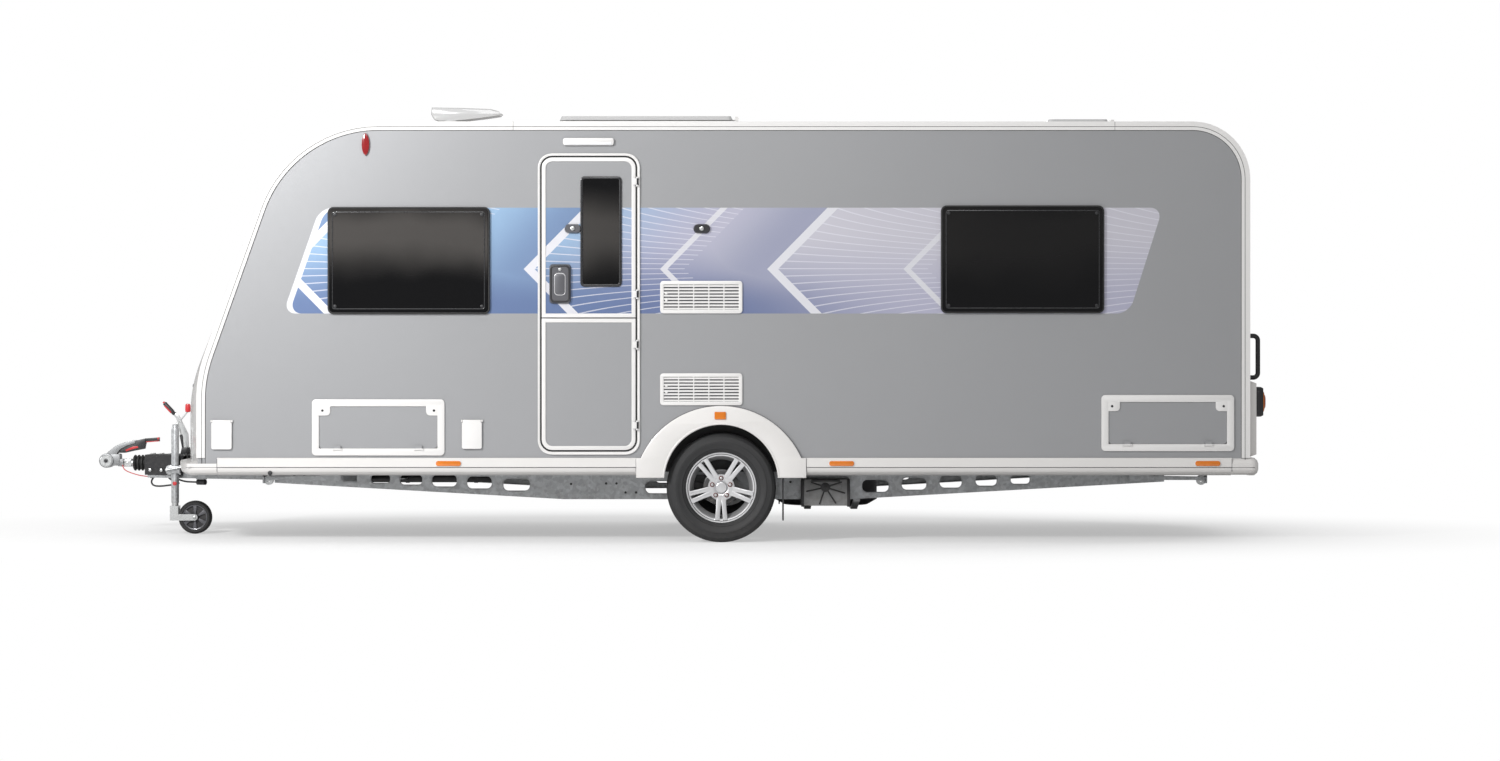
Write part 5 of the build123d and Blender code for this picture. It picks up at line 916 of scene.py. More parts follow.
class CARAVAN_OT_cords(bpy.types.Operator):
    """Adds the red breakaway cable and the black electric lead"""

    bl_idname = "caravan.cords"
    bl_label = "Cords"

    def execute(self, context):
        cable = round_line("red_breakaway_cable", CABLE_ROUTE, sizes().cable / 2, 10)
        cable.data.materials.append(MATERIALS["red sheath"])
        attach(cable, "caravan")
        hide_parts("breakaway_cable")
        lead = round_line("black_electric_lead", LEAD_ROUTE, sizes().lead / 2, 10)
        lead.data.materials.append(MATERIALS["rubber"])
        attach(lead, "caravan")
        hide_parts("electric_lead")
        return {"FINISHED"}


# Tyre: bead radius, then its wall as radius beyond the bead and depth below the widest place, then its
# shoulder and the edges of its grooves (1 is sunk) as distances below the tread and the widest place
BEAD_RADIUS = 0.198
TYRE_WALL = [(0, 0.030), (0.018, 0.021), (0.026, 0.013), (0.030, 0.012), (0.036, 0.005), (0.060, 0.001),
             (0.062, 0), (0.074, 0), (0.076, 0.002), (0.100, 0.006), (0.104, 0.006)]
TYRE_SHOULDER = [(0.012, 0.014), (0.004, 0.022), (0.001, 0.030)]
TREAD_EDGES = [(0, 0.036), (1, 0.040), (1, 0.048), (0, 0.052), (0, 0.074), (1, 0.076), (1, 0.084), (0, 0.086)]

# Turned parts of a wheel: radius, then distance from its middle plane
RIM_PROFILE = [(0.187, -0.073), (0.2085, -0.073), (0.2105, -0.069), (0.2045, -0.064), (0.196, -0.050),
               (0.172, -0.020), (0.172, 0.010), (0.194, 0.048), (0.2045, 0.060), (0.2110, 0.066),
               (0.2115, 0.072), (0.2085, 0.0745), (0.2040, 0.0735), (0.1985, 0.0660), (0.1900, 0.0640),
               (0.1870, 0.0585), (0.1830, 0.0440), (0.1660, 0.0080), (0.1660, -0.0200), (0.1870, -0.0520),
               (0.187, -0.073)]
HUB_PROFILE = [(0.060, 0.034), (0.078, 0.040), (0.080, 0.050), (0.074, 0.057), (0.052, 0.059), (0.038, 0.055),
               (0.032, 0.050), (0.032, 0.046)]
CAP_PROFILE = [(0.030, 0.050), (0.0330, 0.060), (0.0315, 0.0650), (0.0275, 0.0668), (0.0255, 0.0655),
               (0.012, 0.0665), (0.004, 0.0668)]
DRUM_PROFILE = [(0.030, -0.028), (0.108, -0.030), (0.108, 0.030), (0.100, 0.034), (0.030, 0.034)]
# One spoke along its own length, waisted a little in the middle, and the place where it toes in
SPOKE_OUTLINE = [(0.062, -0.0165), (0.12975, -0.01386), (0.1975, -0.0150), (0.1975, 0.0150),
                 (0.12975, 0.01386), (0.062, 0.0165)]
SPOKE_START, SPOKE_LENGTH = 0.062, 0.135
SPOKE_FOOT = Vector((0.066, 0, 0))
WHEEL_SPOKES = 5
WHEEL_BOLTS = 5
BOLT_CIRCLE = 0.056


def turned_away(profile, centre, side):
    """Turned form on a wheel's axis, its profile growing outwards on this side."""
    return lathe(profile, centre, OUT[side], 96)


def tyre_form(centre, radius, half, steps):
    """Road tyre: a turned carcass with ribbed walls, then grooves pressed between the tread blocks."""
    depth = sizes().tread_depth
    profile = [(BEAD_RADIUS + out, half - inset) for out, inset in TYRE_WALL]
    profile += [(radius - drop, half - inset) for drop, inset in TYRE_SHOULDER]
    profile += [(radius - depth * sunk, half - inset) for sunk, inset in TREAD_EDGES]
    sides = 2 * steps
    piece = lathe(mirrored(profile), centre, OUT[FAR], sides)
    mesh = piece.data
    for element in (*mesh.vertices, *mesh.edges):
        element.select = False
    for polygon in mesh.polygons:
        spot = polygon.center - centre
        turn = math.atan2(spot.z, spot.x) / (2 * math.pi) * sides
        band = abs(spot.y)
        in_tread = math.hypot(spot.x, spot.z) > radius - 0.007
        shoulder = half - 0.037 < band < half - 0.018
        centre_band = half - 0.073 < band < half - 0.051
        slot = int(turn + (0.5 if spot.y > 0 else 1.5)) % 2 == 0
        polygon.select = in_tread and slot and (shoulder or centre_band)
    only(piece)
    bpy.ops.object.mode_set(mode="EDIT")
    bpy.ops.mesh.select_mode(type="FACE")
    bpy.ops.mesh.inset(thickness=0.0045, depth=0.0, use_individual=True)
    bpy.ops.mesh.inset(thickness=0.0008, depth=-0.0055, use_individual=True)
    bpy.ops.mesh.select_all(action="DESELECT")
    bpy.ops.object.mode_set(mode="OBJECT")
    return piece


def wheel_disc(centre, side):
    """Alloy rim with five pairs of spokes and its hub."""
    pieces = [turned_away(RIM_PROFILE, centre, side), turned_away(HUB_PROFILE, centre, side)]
    for pair in range(WHEEL_SPOKES):
        for lean in (-11.0, 11.0):
            angle = math.radians(-90 + 360 / WHEEL_SPOKES * pair + lean)
            toe = math.radians(-lean * 0.55)
            spoke = flat_form([SPOKE_OUTLINE], 0.024, SIDE_TURN, (0, 0, 0), 0.006)
            for vertex in spoke.data.vertices:
                dish = (vertex.co.x - SPOKE_START) / SPOKE_LENGTH
                reach = 0.046 + 0.014 * dish - 0.006 * math.sin(math.pi * dish)
                vertex.co.y = -side * reach + vertex.co.y
            to_foot = Matrix.Translation(SPOKE_FOOT)
            toed = to_foot @ Matrix.Rotation(-toe, 4, "Y") @ to_foot.inverted()
            spin = Matrix.Rotation(-angle, 4, "Y") @ toed
            spoke.data.transform(Matrix.Translation(centre) @ spin @ Matrix.Diagonal((1, -1, 1, 1)))
            spoke.data.flip_normals()
            pieces.append(spoke)
    return pieces


class CARAVAN_OT_wheels(bpy.types.Operator):
    """Adds the road tyres, the alloy rims, the drums, the bolts and the caps"""

    bl_idname = "caravan.wheels"
    bl_label = "Wheels"

    def execute(self, context):
        for name, side in SIDES.items():
            low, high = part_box(f"tyre_{name}")
            centre = (low + high) / 2
            radius = (high.z - low.z) / 2
            half = (high.y - low.y) / 2
            body = f"wheel_{name}"
            tyre = tyre_form(centre, radius - 0.0002, half - 0.0002, sizes().tread_steps)
            settle(tyre, f"road_tyre_{name}", "rubber", body, [f"tyre_{name}"], angle=30)
            rim = wheel_disc(centre, side)
            settle(rim, f"alloy_rim_{name}", "alloy", body, [f"wheel_rim_{name}"], angle=30)
            settle(turned_away(DRUM_PROFILE, centre, side), f"brake_drum_{name}", "black paint", body)
            bolts, covers = [], []
            for number in range(WHEEL_BOLTS):
                angle = math.radians(90 + 360 / WHEEL_BOLTS * number)
                spot = centre + Vector((BOLT_CIRCLE * math.cos(angle), 0, BOLT_CIRCLE * math.sin(angle)))
                covers.append(stud(spot, OUT[side], 0.050, 0.0603, 0.0145, 24, 0.001))
                bolts.append(stud(spot, OUT[side], 0.056, 0.067, 0.0088, 6, 0.0015))
            settle(covers, f"wheel_bolt_covers_{name}", "bolt cover", body)
            settle(bolts, f"wheel_bolts_{name}", "bright zinc", body)
            settle(turned_away(CAP_PROFILE, centre, side), f"wheel_cap_{name}", "alloy", body)
        return {"FINISHED"}


# Side windows: x0, x1, z0, z1 of each pane. The middle one is on the far side only.
FRONT_PANE = (-1.969, -1.011, 1.366, 1.996)
MIDDLE_PANE = (-0.330, 0.420, 1.420, 1.996)
REAR_PANE = (1.681, 2.645, 1.371, 2.005)
SIDE_PANES = {"near": [FRONT_PANE, REAR_PANE], "far": [FRONT_PANE, MIDDLE_PANE, REAR_PANE]}
PANE_FACE = WALL_FACE + 0.024
CATCH_INSET = 0.042


class CARAVAN_OT_glazing(bpy.types.Operator):
    """Adds the black frames, the ribs and the catches of the side windows"""

    bl_idname = "caravan.glazing"
    bl_label = "Glazing"

    def execute(self, context):
        for name, side in SIDES.items():
            frames, ribs, catches = [], [], []
            for edges in SIDE_PANES[name]:
                frames.append(side_border(grown(edges, 0.004), 0.034, sizes().gasket, side,
                                          WALL_FACE, WALL_FACE + 0.018, 0.004))
                ribs.append(side_border(grown(edges, -0.024), 0.016, 0.006, side,
                                        PANE_FACE - 0.003, PANE_FACE + 0.002, 0.002))
                x0, x1, z0, z1 = grown(edges, -CATCH_INSET)
                for x, z in ((x0, z0), (x0, z1), (x1, z0), (x1, z1)):
                    spot = (x, side * PANE_FACE, z)
                    catches.append(stud(spot, OUT[side], -0.002, 0.004, 0.010, 20, 0.0015))
            settle(frames, f"window_gaskets_{name}", "gasket")
            settle(ribs, f"window_ribs_{name}", "window frame")
            settle(catches, f"window_catches_{name}", "black plastic")
        return {"FINISHED"}


# Entrance door: edges of the whole leaf, split between its halves, heights of its hinges, outer face
DOOR_LEAF = (-0.699, -0.140, 0.553, 2.295)
DOOR_SPLIT = 1.339
DOOR_GAP = 0.006
DOOR_HINGE_LEVELS = {"door_lower": (0.700, 1.180), "door_upper": (1.480, 2.150)}
DOOR_HINGE_HALF = 0.0195
DOOR_FACE = 1.200
DOOR_FRAME_RIDGE = (-0.722, -0.114, 0.525, 2.319)
DOOR_WINDOW = (-0.463, -0.228, 1.530, 2.177)
HANDLE_BEZEL = (-0.650, -0.529, 1.430, 1.655)
HANDLE_PADDLE = (-0.620, -0.559, 1.476, 1.603)
LOCK_SPOT = (-0.5895, 1.628)
RETAINER_Z = 1.871
RETAINER_FACE = 1.213


def leaf_points(edges, radius, upper):
    """Outline of a door half: round corners at its outer end, square ones at the split."""
    x0, x1, z0, z1 = edges
    points = rounded(*edges, radius)
    if upper:
        return [(u, v) for u, v in points if v > z0 + radius + 1e-6] + [(x0, z0), (x1, z0)]
    return [(x1, z1), (x0, z1)] + [(u, v) for u, v in points if v < z1 - radius - 1e-6]


class CARAVAN_OT_doors(bpy.types.Operator):
    """Adds the entrance door's white borders, seal with a dark strip of painted gap shadow round it, hinges,
    frame ridge, window rim, handle and retainers
    """

    bl_idname = "caravan.doors"
    bl_label = "Entrance door"

    def execute(self, context):
        x0, x1, z0, z1 = DOOR_LEAF
        lower = (x0, x1, z0, DOOR_SPLIT - DOOR_GAP / 2)
        upper = (x0, x1, DOOR_SPLIT + DOOR_GAP / 2, z1)
        for name, edges, is_upper in (("door_lower", lower, False), ("door_upper", upper, True)):
            inner = grown(edges, -sizes().door_trim)
            outlines = [leaf_points(edges, 0.062, is_upper), leaf_points(inner, 0.040, is_upper)]
            border = side_plate(outlines, NEAR, DOOR_FACE, DOOR_FACE + 0.006, 0.0025)
            settle(border, f"{name}_border", "white trim", name)
        seal = side_border(grown(DOOR_LEAF, 0.0055), 0.067, 0.0045, NEAR, 1.180, 1.2035, 0.001)
        # painted shadow: a dark strip on the frame round the door gap, widening the gap's dark line
        gap_shadow_face = DOOR_FACE + 0.0062
        edge_strip = side_border(grown(DOOR_LEAF, 0.0100), 0.0715, 0.0045, NEAR, WALL_FACE, gap_shadow_face, 0.0005)
        settle([seal, edge_strip], "door_seal_and_gap_shadow", "gasket")
        for name, levels in DOOR_HINGE_LEVELS.items():
            barrels, covers = [], []
            for level in levels:
                low, high = level - DOOR_HINGE_HALF, level + DOOR_HINGE_HALF
                barrels.append(rod((-0.130, -1.215, low), (-0.130, -1.215, high), 0.0074, 20, 0.001))
                covers.append(block((-0.155, -1.2227, low), (-0.133, -1.2165, high), 0.001))
            settle(barrels, f"{name}_hinge_barrels", "black plastic", name)
            settle(covers, f"{name}_hinge_covers", "white trim", name)
        ridge = side_border(DOOR_FRAME_RIDGE, 0.085, 0.009, NEAR, WALL_FACE, WALL_FACE + 0.013, 0.003)
        settle(ridge, "door_frame_ridge", "white trim")
        rim = side_border(grown(DOOR_WINDOW, 0.006), 0.026, 0.016, NEAR, DOOR_FACE, DOOR_FACE + 0.009, 0.003)
        settle(rim, "door_window_rim", "window frame", "door_upper", slot="black_plastic")

        low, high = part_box("door_handle")
        face = -low.y
        paddle = side_patch(HANDLE_PADDLE, 0.020, NEAR, face - 0.004, face + 0.004, 0.003)
        settle(paddle, "door_paddle", "grey plastic", "door_upper")
        around = grown(HANDLE_PADDLE, 0.003)
        edge = side_border(around, 0.022, 0.004, NEAR, face - 0.003, face + 0.0025, 0.001)
        settle(edge, "door_paddle_rim", "alloy", "door_upper")
        lock = stud((LOCK_SPOT[0], -face, LOCK_SPOT[1]), OUT[NEAR], -0.002, 0.004, 0.0085, 24, 0.001)
        settle(lock, "door_lock", "bright zinc", "door_upper", slot="rim_silver")
        bezel = side_border(HANDLE_BEZEL, 0.030, 0.012, NEAR, face - 0.004, face + 0.003, 0.002)
        settle(bezel, "door_handle_bezel", "black plastic", "door_upper")
        for x, body, reach in ((-0.514, "door_upper", face), (0.254, "caravan", RETAINER_FACE)):
            knob = stud((x, -reach, RETAINER_Z), OUT[NEAR], -0.004, 0.008, 0.013, 24, 0.003)
            settle(knob, f"retainer_stud_{body}", "bright zinc", body, slot="rim_silver")
        return {"FINISHED"}


# Lockers, service hatch and inlet flaps: x0, x1, z0, z1
NEAR_LOCKERS = {"front": (-2.024, -1.320, 0.563, 0.812), "rear": (2.676, 3.380, 0.589, 0.838)}
SERVICE_HATCH = (2.700, 3.100, 0.560, 0.905)
FLAPS = {"front": (-2.658, -2.549, 0.560, 0.731), "rear": (-1.167, -1.061, 0.563, 0.733)}
LOCKER_FACE = 1.199
TAB_FACE = LOCKER_FACE + 0.0075
HATCH_TAB_FACE = LOCKER_FACE + 0.006
# How far the inlet covers stand out beside the hinge lugs and how far below their top that starts
COVER_EAR = 0.006
COVER_NECK = 0.016


def lock_tab(corner, way, top):
    """White lock corner of a locker door, round at its inner lower end. way points into the door."""
    outer, inner = corner - way * 0.012, corner + way * 0.067
    low, turn = top - 0.054, 0.024
    angles = [math.radians(15 * step) for step in range(7)]
    bend = [(inner - way * turn * (1 - math.cos(a)), low + turn * (1 - math.sin(a))) for a in angles]
    outline = [(outer, top + 0.012), (inner, top + 0.012), *bend, (outer, low)]
    return side_plate([outline], NEAR, LOCKER_FACE, TAB_FACE, 0.002)


class CARAVAN_OT_lockers(bpy.types.Operator):
    """Adds the lockers' lock corners, locks, rings and hinge covers, the hatch tabs and the inlet covers"""

    bl_idname = "caravan.lockers"
    bl_label = "Lockers"

    def execute(self, context):
        for name, edges in NEAR_LOCKERS.items():
            x0, x1, z0, z1 = edges
            body = f"locker_{name}"
            tabs, locks, covers = [], [], []
            for corner, way in ((x0, 1), (x1, -1)):
                tabs.append(lock_tab(corner, way, z1))
                spot = (corner + way * 0.020, -TAB_FACE, z1 - 0.024)
                locks.append(stud(spot, OUT[NEAR], -0.001, 0.001, 0.0075, 20, 0.0006))
            settle(tabs, f"locker_tabs_{name}", "white trim", body)
            settle(locks, f"locker_locks_{name}", "black plastic", body)
            around = grown(edges, 0.043)
            rim = side_border(around, 0.024, 0.0425, NEAR, WALL_FACE, LOCKER_FACE + 0.008, 0.0035)
            settle(rim, f"locker_ring_{name}", "white trim")
            for hinge_x in (x0 + 0.110, x1 - 0.110):
                low, high, hinge_z = hinge_x - 0.020, hinge_x + 0.020, z0 - 0.006
                covers.append(rod((low, -1.210, hinge_z), (high, -1.210, hinge_z), 0.0059, 20))
                covers.append(block((low, -1.2159, hinge_z), (high, -1.2105, z0 - 0.0002)))
            settle(covers, f"locker_hinge_covers_{name}", "white trim", body)

        x0, x1, z0, z1 = SERVICE_HATCH
        tabs = []
        for corner, way in ((x0, 1), (x1, -1)):
            ends = sorted((corner - way * 0.004, corner + way * 0.055))
            edges = (*ends, z1 - 0.050, z1 + 0.004)
            tabs.append(side_patch(edges, 0.012, FAR, LOCKER_FACE, HATCH_TAB_FACE, 0.002))
            spot = (corner + way * 0.026, HATCH_TAB_FACE, z1 - 0.023)
            tabs.append(stud(spot, OUT[FAR], -0.001, 0.002, 0.0085, 20, 0.0006))
        settle(tabs, "service_hatch_tabs", "white trim", "service_hatch")

        for name, (x0, x1, z0, z1) in FLAPS.items():
            # the cover narrows at its top, where it turns between the hinge lugs
            left, right, neck = x0 - COVER_EAR, x1 + COVER_EAR, z1 - COVER_NECK
            lower_corners = rounded(left, right, z0 - 0.003, z1, 0.012)[14:]
            top = [(right, neck), (x1, neck), (x1, z1), (x0, z1), (x0, neck), (left, neck)]
            cover = side_plate([lower_corners + top], NEAR, 1.2000, 1.2125, 0.002)
            settle(cover, f"inlet_cover_{name}", "white trim", f"flap_{name}", [f"inlet_flap_{name}"])
        return {"FINISHED"}


# Refrigerator vents: x0, x1, z0, z1
VENTS = [(0.006, 0.496, 0.819, 1.010), (0.006, 0.496, 1.366, 1.560)]
VENT_ROWS = 8
VENT_COLUMNS = 5
# One slat in the side's section: y, then height over its middle in shares of the rows' pitch
SLAT = [(-1.2045, -0.32), (-1.2045, -0.14), (-1.1990, 0.26), (-1.1975, 0.20), (-1.2010, -0.32)]


class CARAVAN_OT_vents(bpy.types.Operator):
    """Adds the louvred vents of the refrigerator"""

    bl_idname = "caravan.vents"
    bl_label = "Vents"

    def execute(self, context):
        faces, backs = [], []
        for edges in VENTS:
            faces.append(side_border(edges, 0.020, 0.022, NEAR, WALL_FACE, 1.2068, 0.003))
            backs.append(side_patch(grown(edges, -0.015), 0.01, NEAR, 1.193, 1.1965))
            x0, x1, z0, z1 = grown(edges, -0.020)
            pitch = (z1 - z0) / VENT_ROWS
            for row in range(VENT_ROWS):
                level = z0 + (row + 0.5) * pitch
                shape = [(y, level + pitch * share) for y, share in SLAT]
                faces.append(flat_form([shape], x1 - x0, REAR_TURN, ((x0 + x1) / 2, 0, 0)))
            for column in range(1, VENT_COLUMNS):
                bar_x = x0 + (x1 - x0) * column / VENT_COLUMNS
                faces.append(block((bar_x - 0.0035, -1.2040, z0), (bar_x + 0.0035, -1.196, z1)))
            knob_x = edges[0] + 0.034
            for level in (edges[2] + 0.075, edges[3] - 0.075):
                knob = ((knob_x - 0.004, -1.2062, level - 0.006), (knob_x + 0.010, -1.199, level + 0.006))
                faces.append(block(*knob, 0.001))
        settle(faces, "vent_louvres", "white trim", replaces=["fridge_vents"])
        settle(backs, "vent_meshes", "grey plastic")
        return {"FINISHED"}


# Awning rail: inset of a pinstripe's outer and inner line, then its face
PINSTRIPES = [(0.0235, 0.0262, RAIL_FACE + 0.0006), (0.0448, 0.0472, WALL_FACE + 0.0012)]
RAIL_JOINTS = (-0.869, 2.713)
# Skirts: ends of the lengths of their groove's dark strip, which is painted shade, and its face, then the
# seams between the lengths
SKIRT_GROOVE_SHADES = [(-2.815, -2.631, SKIRT_FACE + 0.0006), (-2.629, -0.1385, SKIRT_FACE + 0.0006),
                 (0.878, 3.4065, SKIRT_FACE - 0.0002), (3.4085, 3.545, SKIRT_FACE + 0.0006)]
SKIRT_SEAMS = (-2.630, -0.1375, 0.877, 3.4075)
# Wheel spat: centre and radius of its bow, centre and radius of its opening, its top and its foot
BOW_CENTRE = (AXLE_X, 0.292)
BOW_RADIUS = 0.524
ARCH_CENTRE = (AXLE_X, 0.365)
ARCH_RADIUS = 0.338
SPAT_TOP = 0.506
SPAT_FOOT = 0.387


class CARAVAN_OT_mouldings(bpy.types.Operator):
    """Adds the spats, the pinstripes of the awning rails and the lines of the skirts, with a dark strip of
    painted shade in their groove
    """

    bl_idname = "caravan.mouldings"
    bl_label = "Mouldings"

    def execute(self, context):
        shoulder = math.degrees(math.asin((SPAT_TOP - BOW_CENTRE[1]) / BOW_RADIUS))
        foot = math.degrees(math.asin((SPAT_FOOT - ARCH_CENTRE[1]) / ARCH_RADIUS))
        for name, side in SIDES.items():
            lines = []
            for outer, inner, reach in PINSTRIPES:
                outline = side_outline(outer) + side_outline(inner)[::-1]
                lines.append(side_plate([outline], side, reach - 0.0016, reach))
            for x in RAIL_JOINTS:
                joint = square(x - 0.001, x + 0.001, 2.458, 2.5085)
                lines.append(side_plate([joint], side, RAIL_FACE - 0.001, RAIL_FACE + 0.0005))
            settle(lines, f"rail_pinstripes_{name}", "gasket")

            outer = [(0.8765, SPAT_FOOT), (0.8765, SPAT_TOP)]
            outer += arc_points(BOW_CENTRE, BOW_RADIUS, shoulder, 180 - shoulder)
            outer += [(-0.137, SPAT_TOP), (-0.137, SPAT_FOOT)]
            opening = arc_points(ARCH_CENTRE, ARCH_RADIUS, 180 - foot, foot)
            spat = side_plate([outer + opening], side, WALL_FACE, SPAT_FACE - 0.0005, 0.009)
            edge_strip = arc_points(ARCH_CENTRE, ARCH_RADIUS + 0.0015, 180 - foot, foot)
            edge_strip += arc_points(ARCH_CENTRE, ARCH_RADIUS + 0.014, foot, 180 - foot)
            edge = side_plate([edge_strip], side, WALL_FACE + 0.004, SPAT_FACE + 0.002, 0.004)
            settle([spat, edge], f"wheel_spat_{name}", "silver moulding", replaces=["wheel_spats"])

            bead = arc_points(BOW_CENTRE, BOW_RADIUS - 0.0015, shoulder, 180 - shoulder)
            bead += arc_points(BOW_CENTRE, BOW_RADIUS + 0.0025, 180 - shoulder, shoulder)
            joints_and_groove_shade = [side_plate([bead], side, WALL_FACE, WALL_FACE + 0.006)]
            # painted shade: a dark strip along the skirt's groove stands in for the groove's shadow; the
            # seams are real joints
            for x0, x1, reach in SKIRT_GROOVE_SHADES:
                joints_and_groove_shade.append(side_plate([square(x0, x1, 0.4482, 0.4508)], side, SKIRT_FACE - 0.005, reach))
            for x in SKIRT_SEAMS:
                seam = square(x - 0.0014, x + 0.0014, 0.425, 0.500)
                joints_and_groove_shade.append(side_plate([seam], side, SKIRT_FACE - 0.004, SKIRT_FACE + 0.0008))
            settle(joints_and_groove_shade, f"moulding_joints_and_groove_shade_{name}", "grey plastic", slot="rubber_black")
            port = stud((-2.314, side * SKIRT_FACE, 0.4165), OUT[side], -0.006, -0.001, 0.014, 24, 0.001)
            settle(port, f"steady_port_{name}", "black plastic")
        return {"FINISHED"}


# Skirt markers: x0, x1
SKIRT_MARKERS = [(-1.327, -1.178), (1.012, 1.160), (3.189, 3.338)]
REAR_LAMP_Y = 1.015


class CARAVAN_OT_lamps(bpy.types.Operator):
    """Adds the markers, reflectors, awning lamp, rear clusters and high lamp"""

    bl_idname = "caravan.lamps"
    bl_label = "Lamps"

    def execute(self, context):
        turns = [math.radians(10 * step) for step in range(36)]
        oval = [(-1.7475 + 0.0235 * math.cos(a) * (1 - 0.25 * math.sin(a) ** 4), 2.373 + 0.067 * math.sin(a))
                for a in turns]
        for name, side in SIDES.items():
            lenses, bases = [], []
            for x0, x1 in SKIRT_MARKERS:
                edges = (x0, x1, 0.458, 0.489)
                bases.append(side_patch(grown(edges, 0.003), 0.015, side, 1.214, 1.2175, 0.001))
                lenses.append(side_patch(edges, 0.013, side, 1.216, 1.2235, 0.003))
            arch_lens = (0.330, 0.398, 0.736, 0.781)
            lenses.append(side_patch(arch_lens, 0.005, side, SPAT_FACE - 0.002, 1.2325, 0.002))
            settle(lenses, f"amber_lenses_{name}", "amber lens", replaces=["lamps"])
            settle(bases, f"lamp_bases_{name}", "white trim")
            marker = side_plate([oval], side, 1.1945, 1.2125, 0.006)
            settle(marker, f"high_marker_{name}", "red lens")
            middle = side * REAR_LAMP_Y
            housing = rear_patch((middle - 0.115, middle + 0.115, 0.750, 0.929), 0.035, 3.566, 3.612, 0.012)
            settle(housing, f"rear_lamp_housing_{name}", "black plastic")
            lens = rear_patch((middle - 0.085, middle + 0.085, 0.795, 0.884), 0.030, 3.600, 3.632, 0.010)
            settle(lens, f"rear_lamp_lens_{name}", "red lens")
            ring = rear_patch((middle - 0.098, middle - 0.010, 0.778, 0.902), 0.03, 3.606, 3.622, 0.006)
            settle(ring, f"rear_indicator_{name}", "amber lens")
        awning = side_patch((-0.572, -0.269, 2.366, 2.410), 0.014, NEAR, 1.195, 1.216, 0.006)
        settle(awning, "awning_lamp_body", "white trim")
        strip = side_patch((-0.560, -0.281, 2.369, 2.385), 0.006, NEAR, 1.208, 1.2195, 0.003)
        settle(strip, "awning_lamp_lens", "clear lens")
        high = rear_patch((-0.170, 0.170, 2.040, 2.085), 0.015, REAR_X, REAR_X + 0.020, 0.005)
        settle(high, "high_brake_lamp", "red lens")
        return {"FINISHED"}


# Coupling: middle of its ball socket, outlines of its handle in the side view
BALL = Vector((-3.570, 0, 0.455))
ARM_OUTLINE = [(-3.590, 0.478), (-3.561, 0.512), (-3.514, 0.549), (-3.455, 0.573), (-3.392, 0.587),
               (-3.386, 0.566), (-3.440, 0.551), (-3.484, 0.528), (-3.512, 0.492), (-3.535, 0.462),
               (-3.560, 0.450)]
GRIP_HOUSING = [(-3.500, 0.5045), (-3.484, 0.524), (-3.440, 0.548), (-3.384, 0.5835), (-3.325, 0.5965),
                (-3.322, 0.572), (-3.331, 0.530), (-3.396, 0.518), (-3.455, 0.5045)]
HANDLE_GRIP = [(-3.330, 0.5965), (-3.240, 0.603), (-3.237, 0.578), (-3.320, 0.571)]
HANDLE_RED = [(-3.322, 0.5765), (-3.239, 0.583), (-3.238, 0.5775), (-3.320, 0.571)]
HANDLE_INSET = [(-3.452, 0.524), (-3.405, 0.545), (-3.372, 0.548), (-3.370, 0.537), (-3.400, 0.530),
                (-3.448, 0.514)]
SOCKET_PROFILE = mirrored([(0.034, -0.046), (0.045, -0.042), (0.046, -0.034)], closed=False)
PAD_PROFILE = [(0.014, 0.044), (0.016, 0.0475), (0.034, 0.0475), (0.039, 0.044), (0.040, 0.040)]
# Bellows: one fold as radius and distance along it
FOLD = [(0.038, 0.001), (0.045, 0.004), (0.0505, 0.0085), (0.0513, 0.0115), (0.0505, 0.0145),
        (0.045, 0.019), (0.038, 0.0225)]
FOLD_COUNT = 4
FOLD_PITCH = 0.0235
# Brake lever: its outline and the outline of its foot
LEVER_OUTLINE = [(-3.075, 0.495), (-3.043, 0.495), (-3.050, 0.625), (-3.108, 0.742), (-3.140, 0.775),
                 (-3.156, 0.760), (-3.128, 0.725), (-3.084, 0.612)]
LEVER_FOOT = [(-3.100, 0.497), (-3.035, 0.497), (-3.041, 0.540), (-3.090, 0.540)]
# Ends of the brake lever's grip
GRIP_START = Vector((-3.136, -0.017, 0.752))
GRIP_END = Vector((-3.203, -0.017, 0.823))
# Overrun housing: its half width over the bolts' flange at its front, and how fast that grows behind it
HOUSING_X = -3.309
HOUSING_HALF = 0.104
HOUSING_FLARE = 0.5254


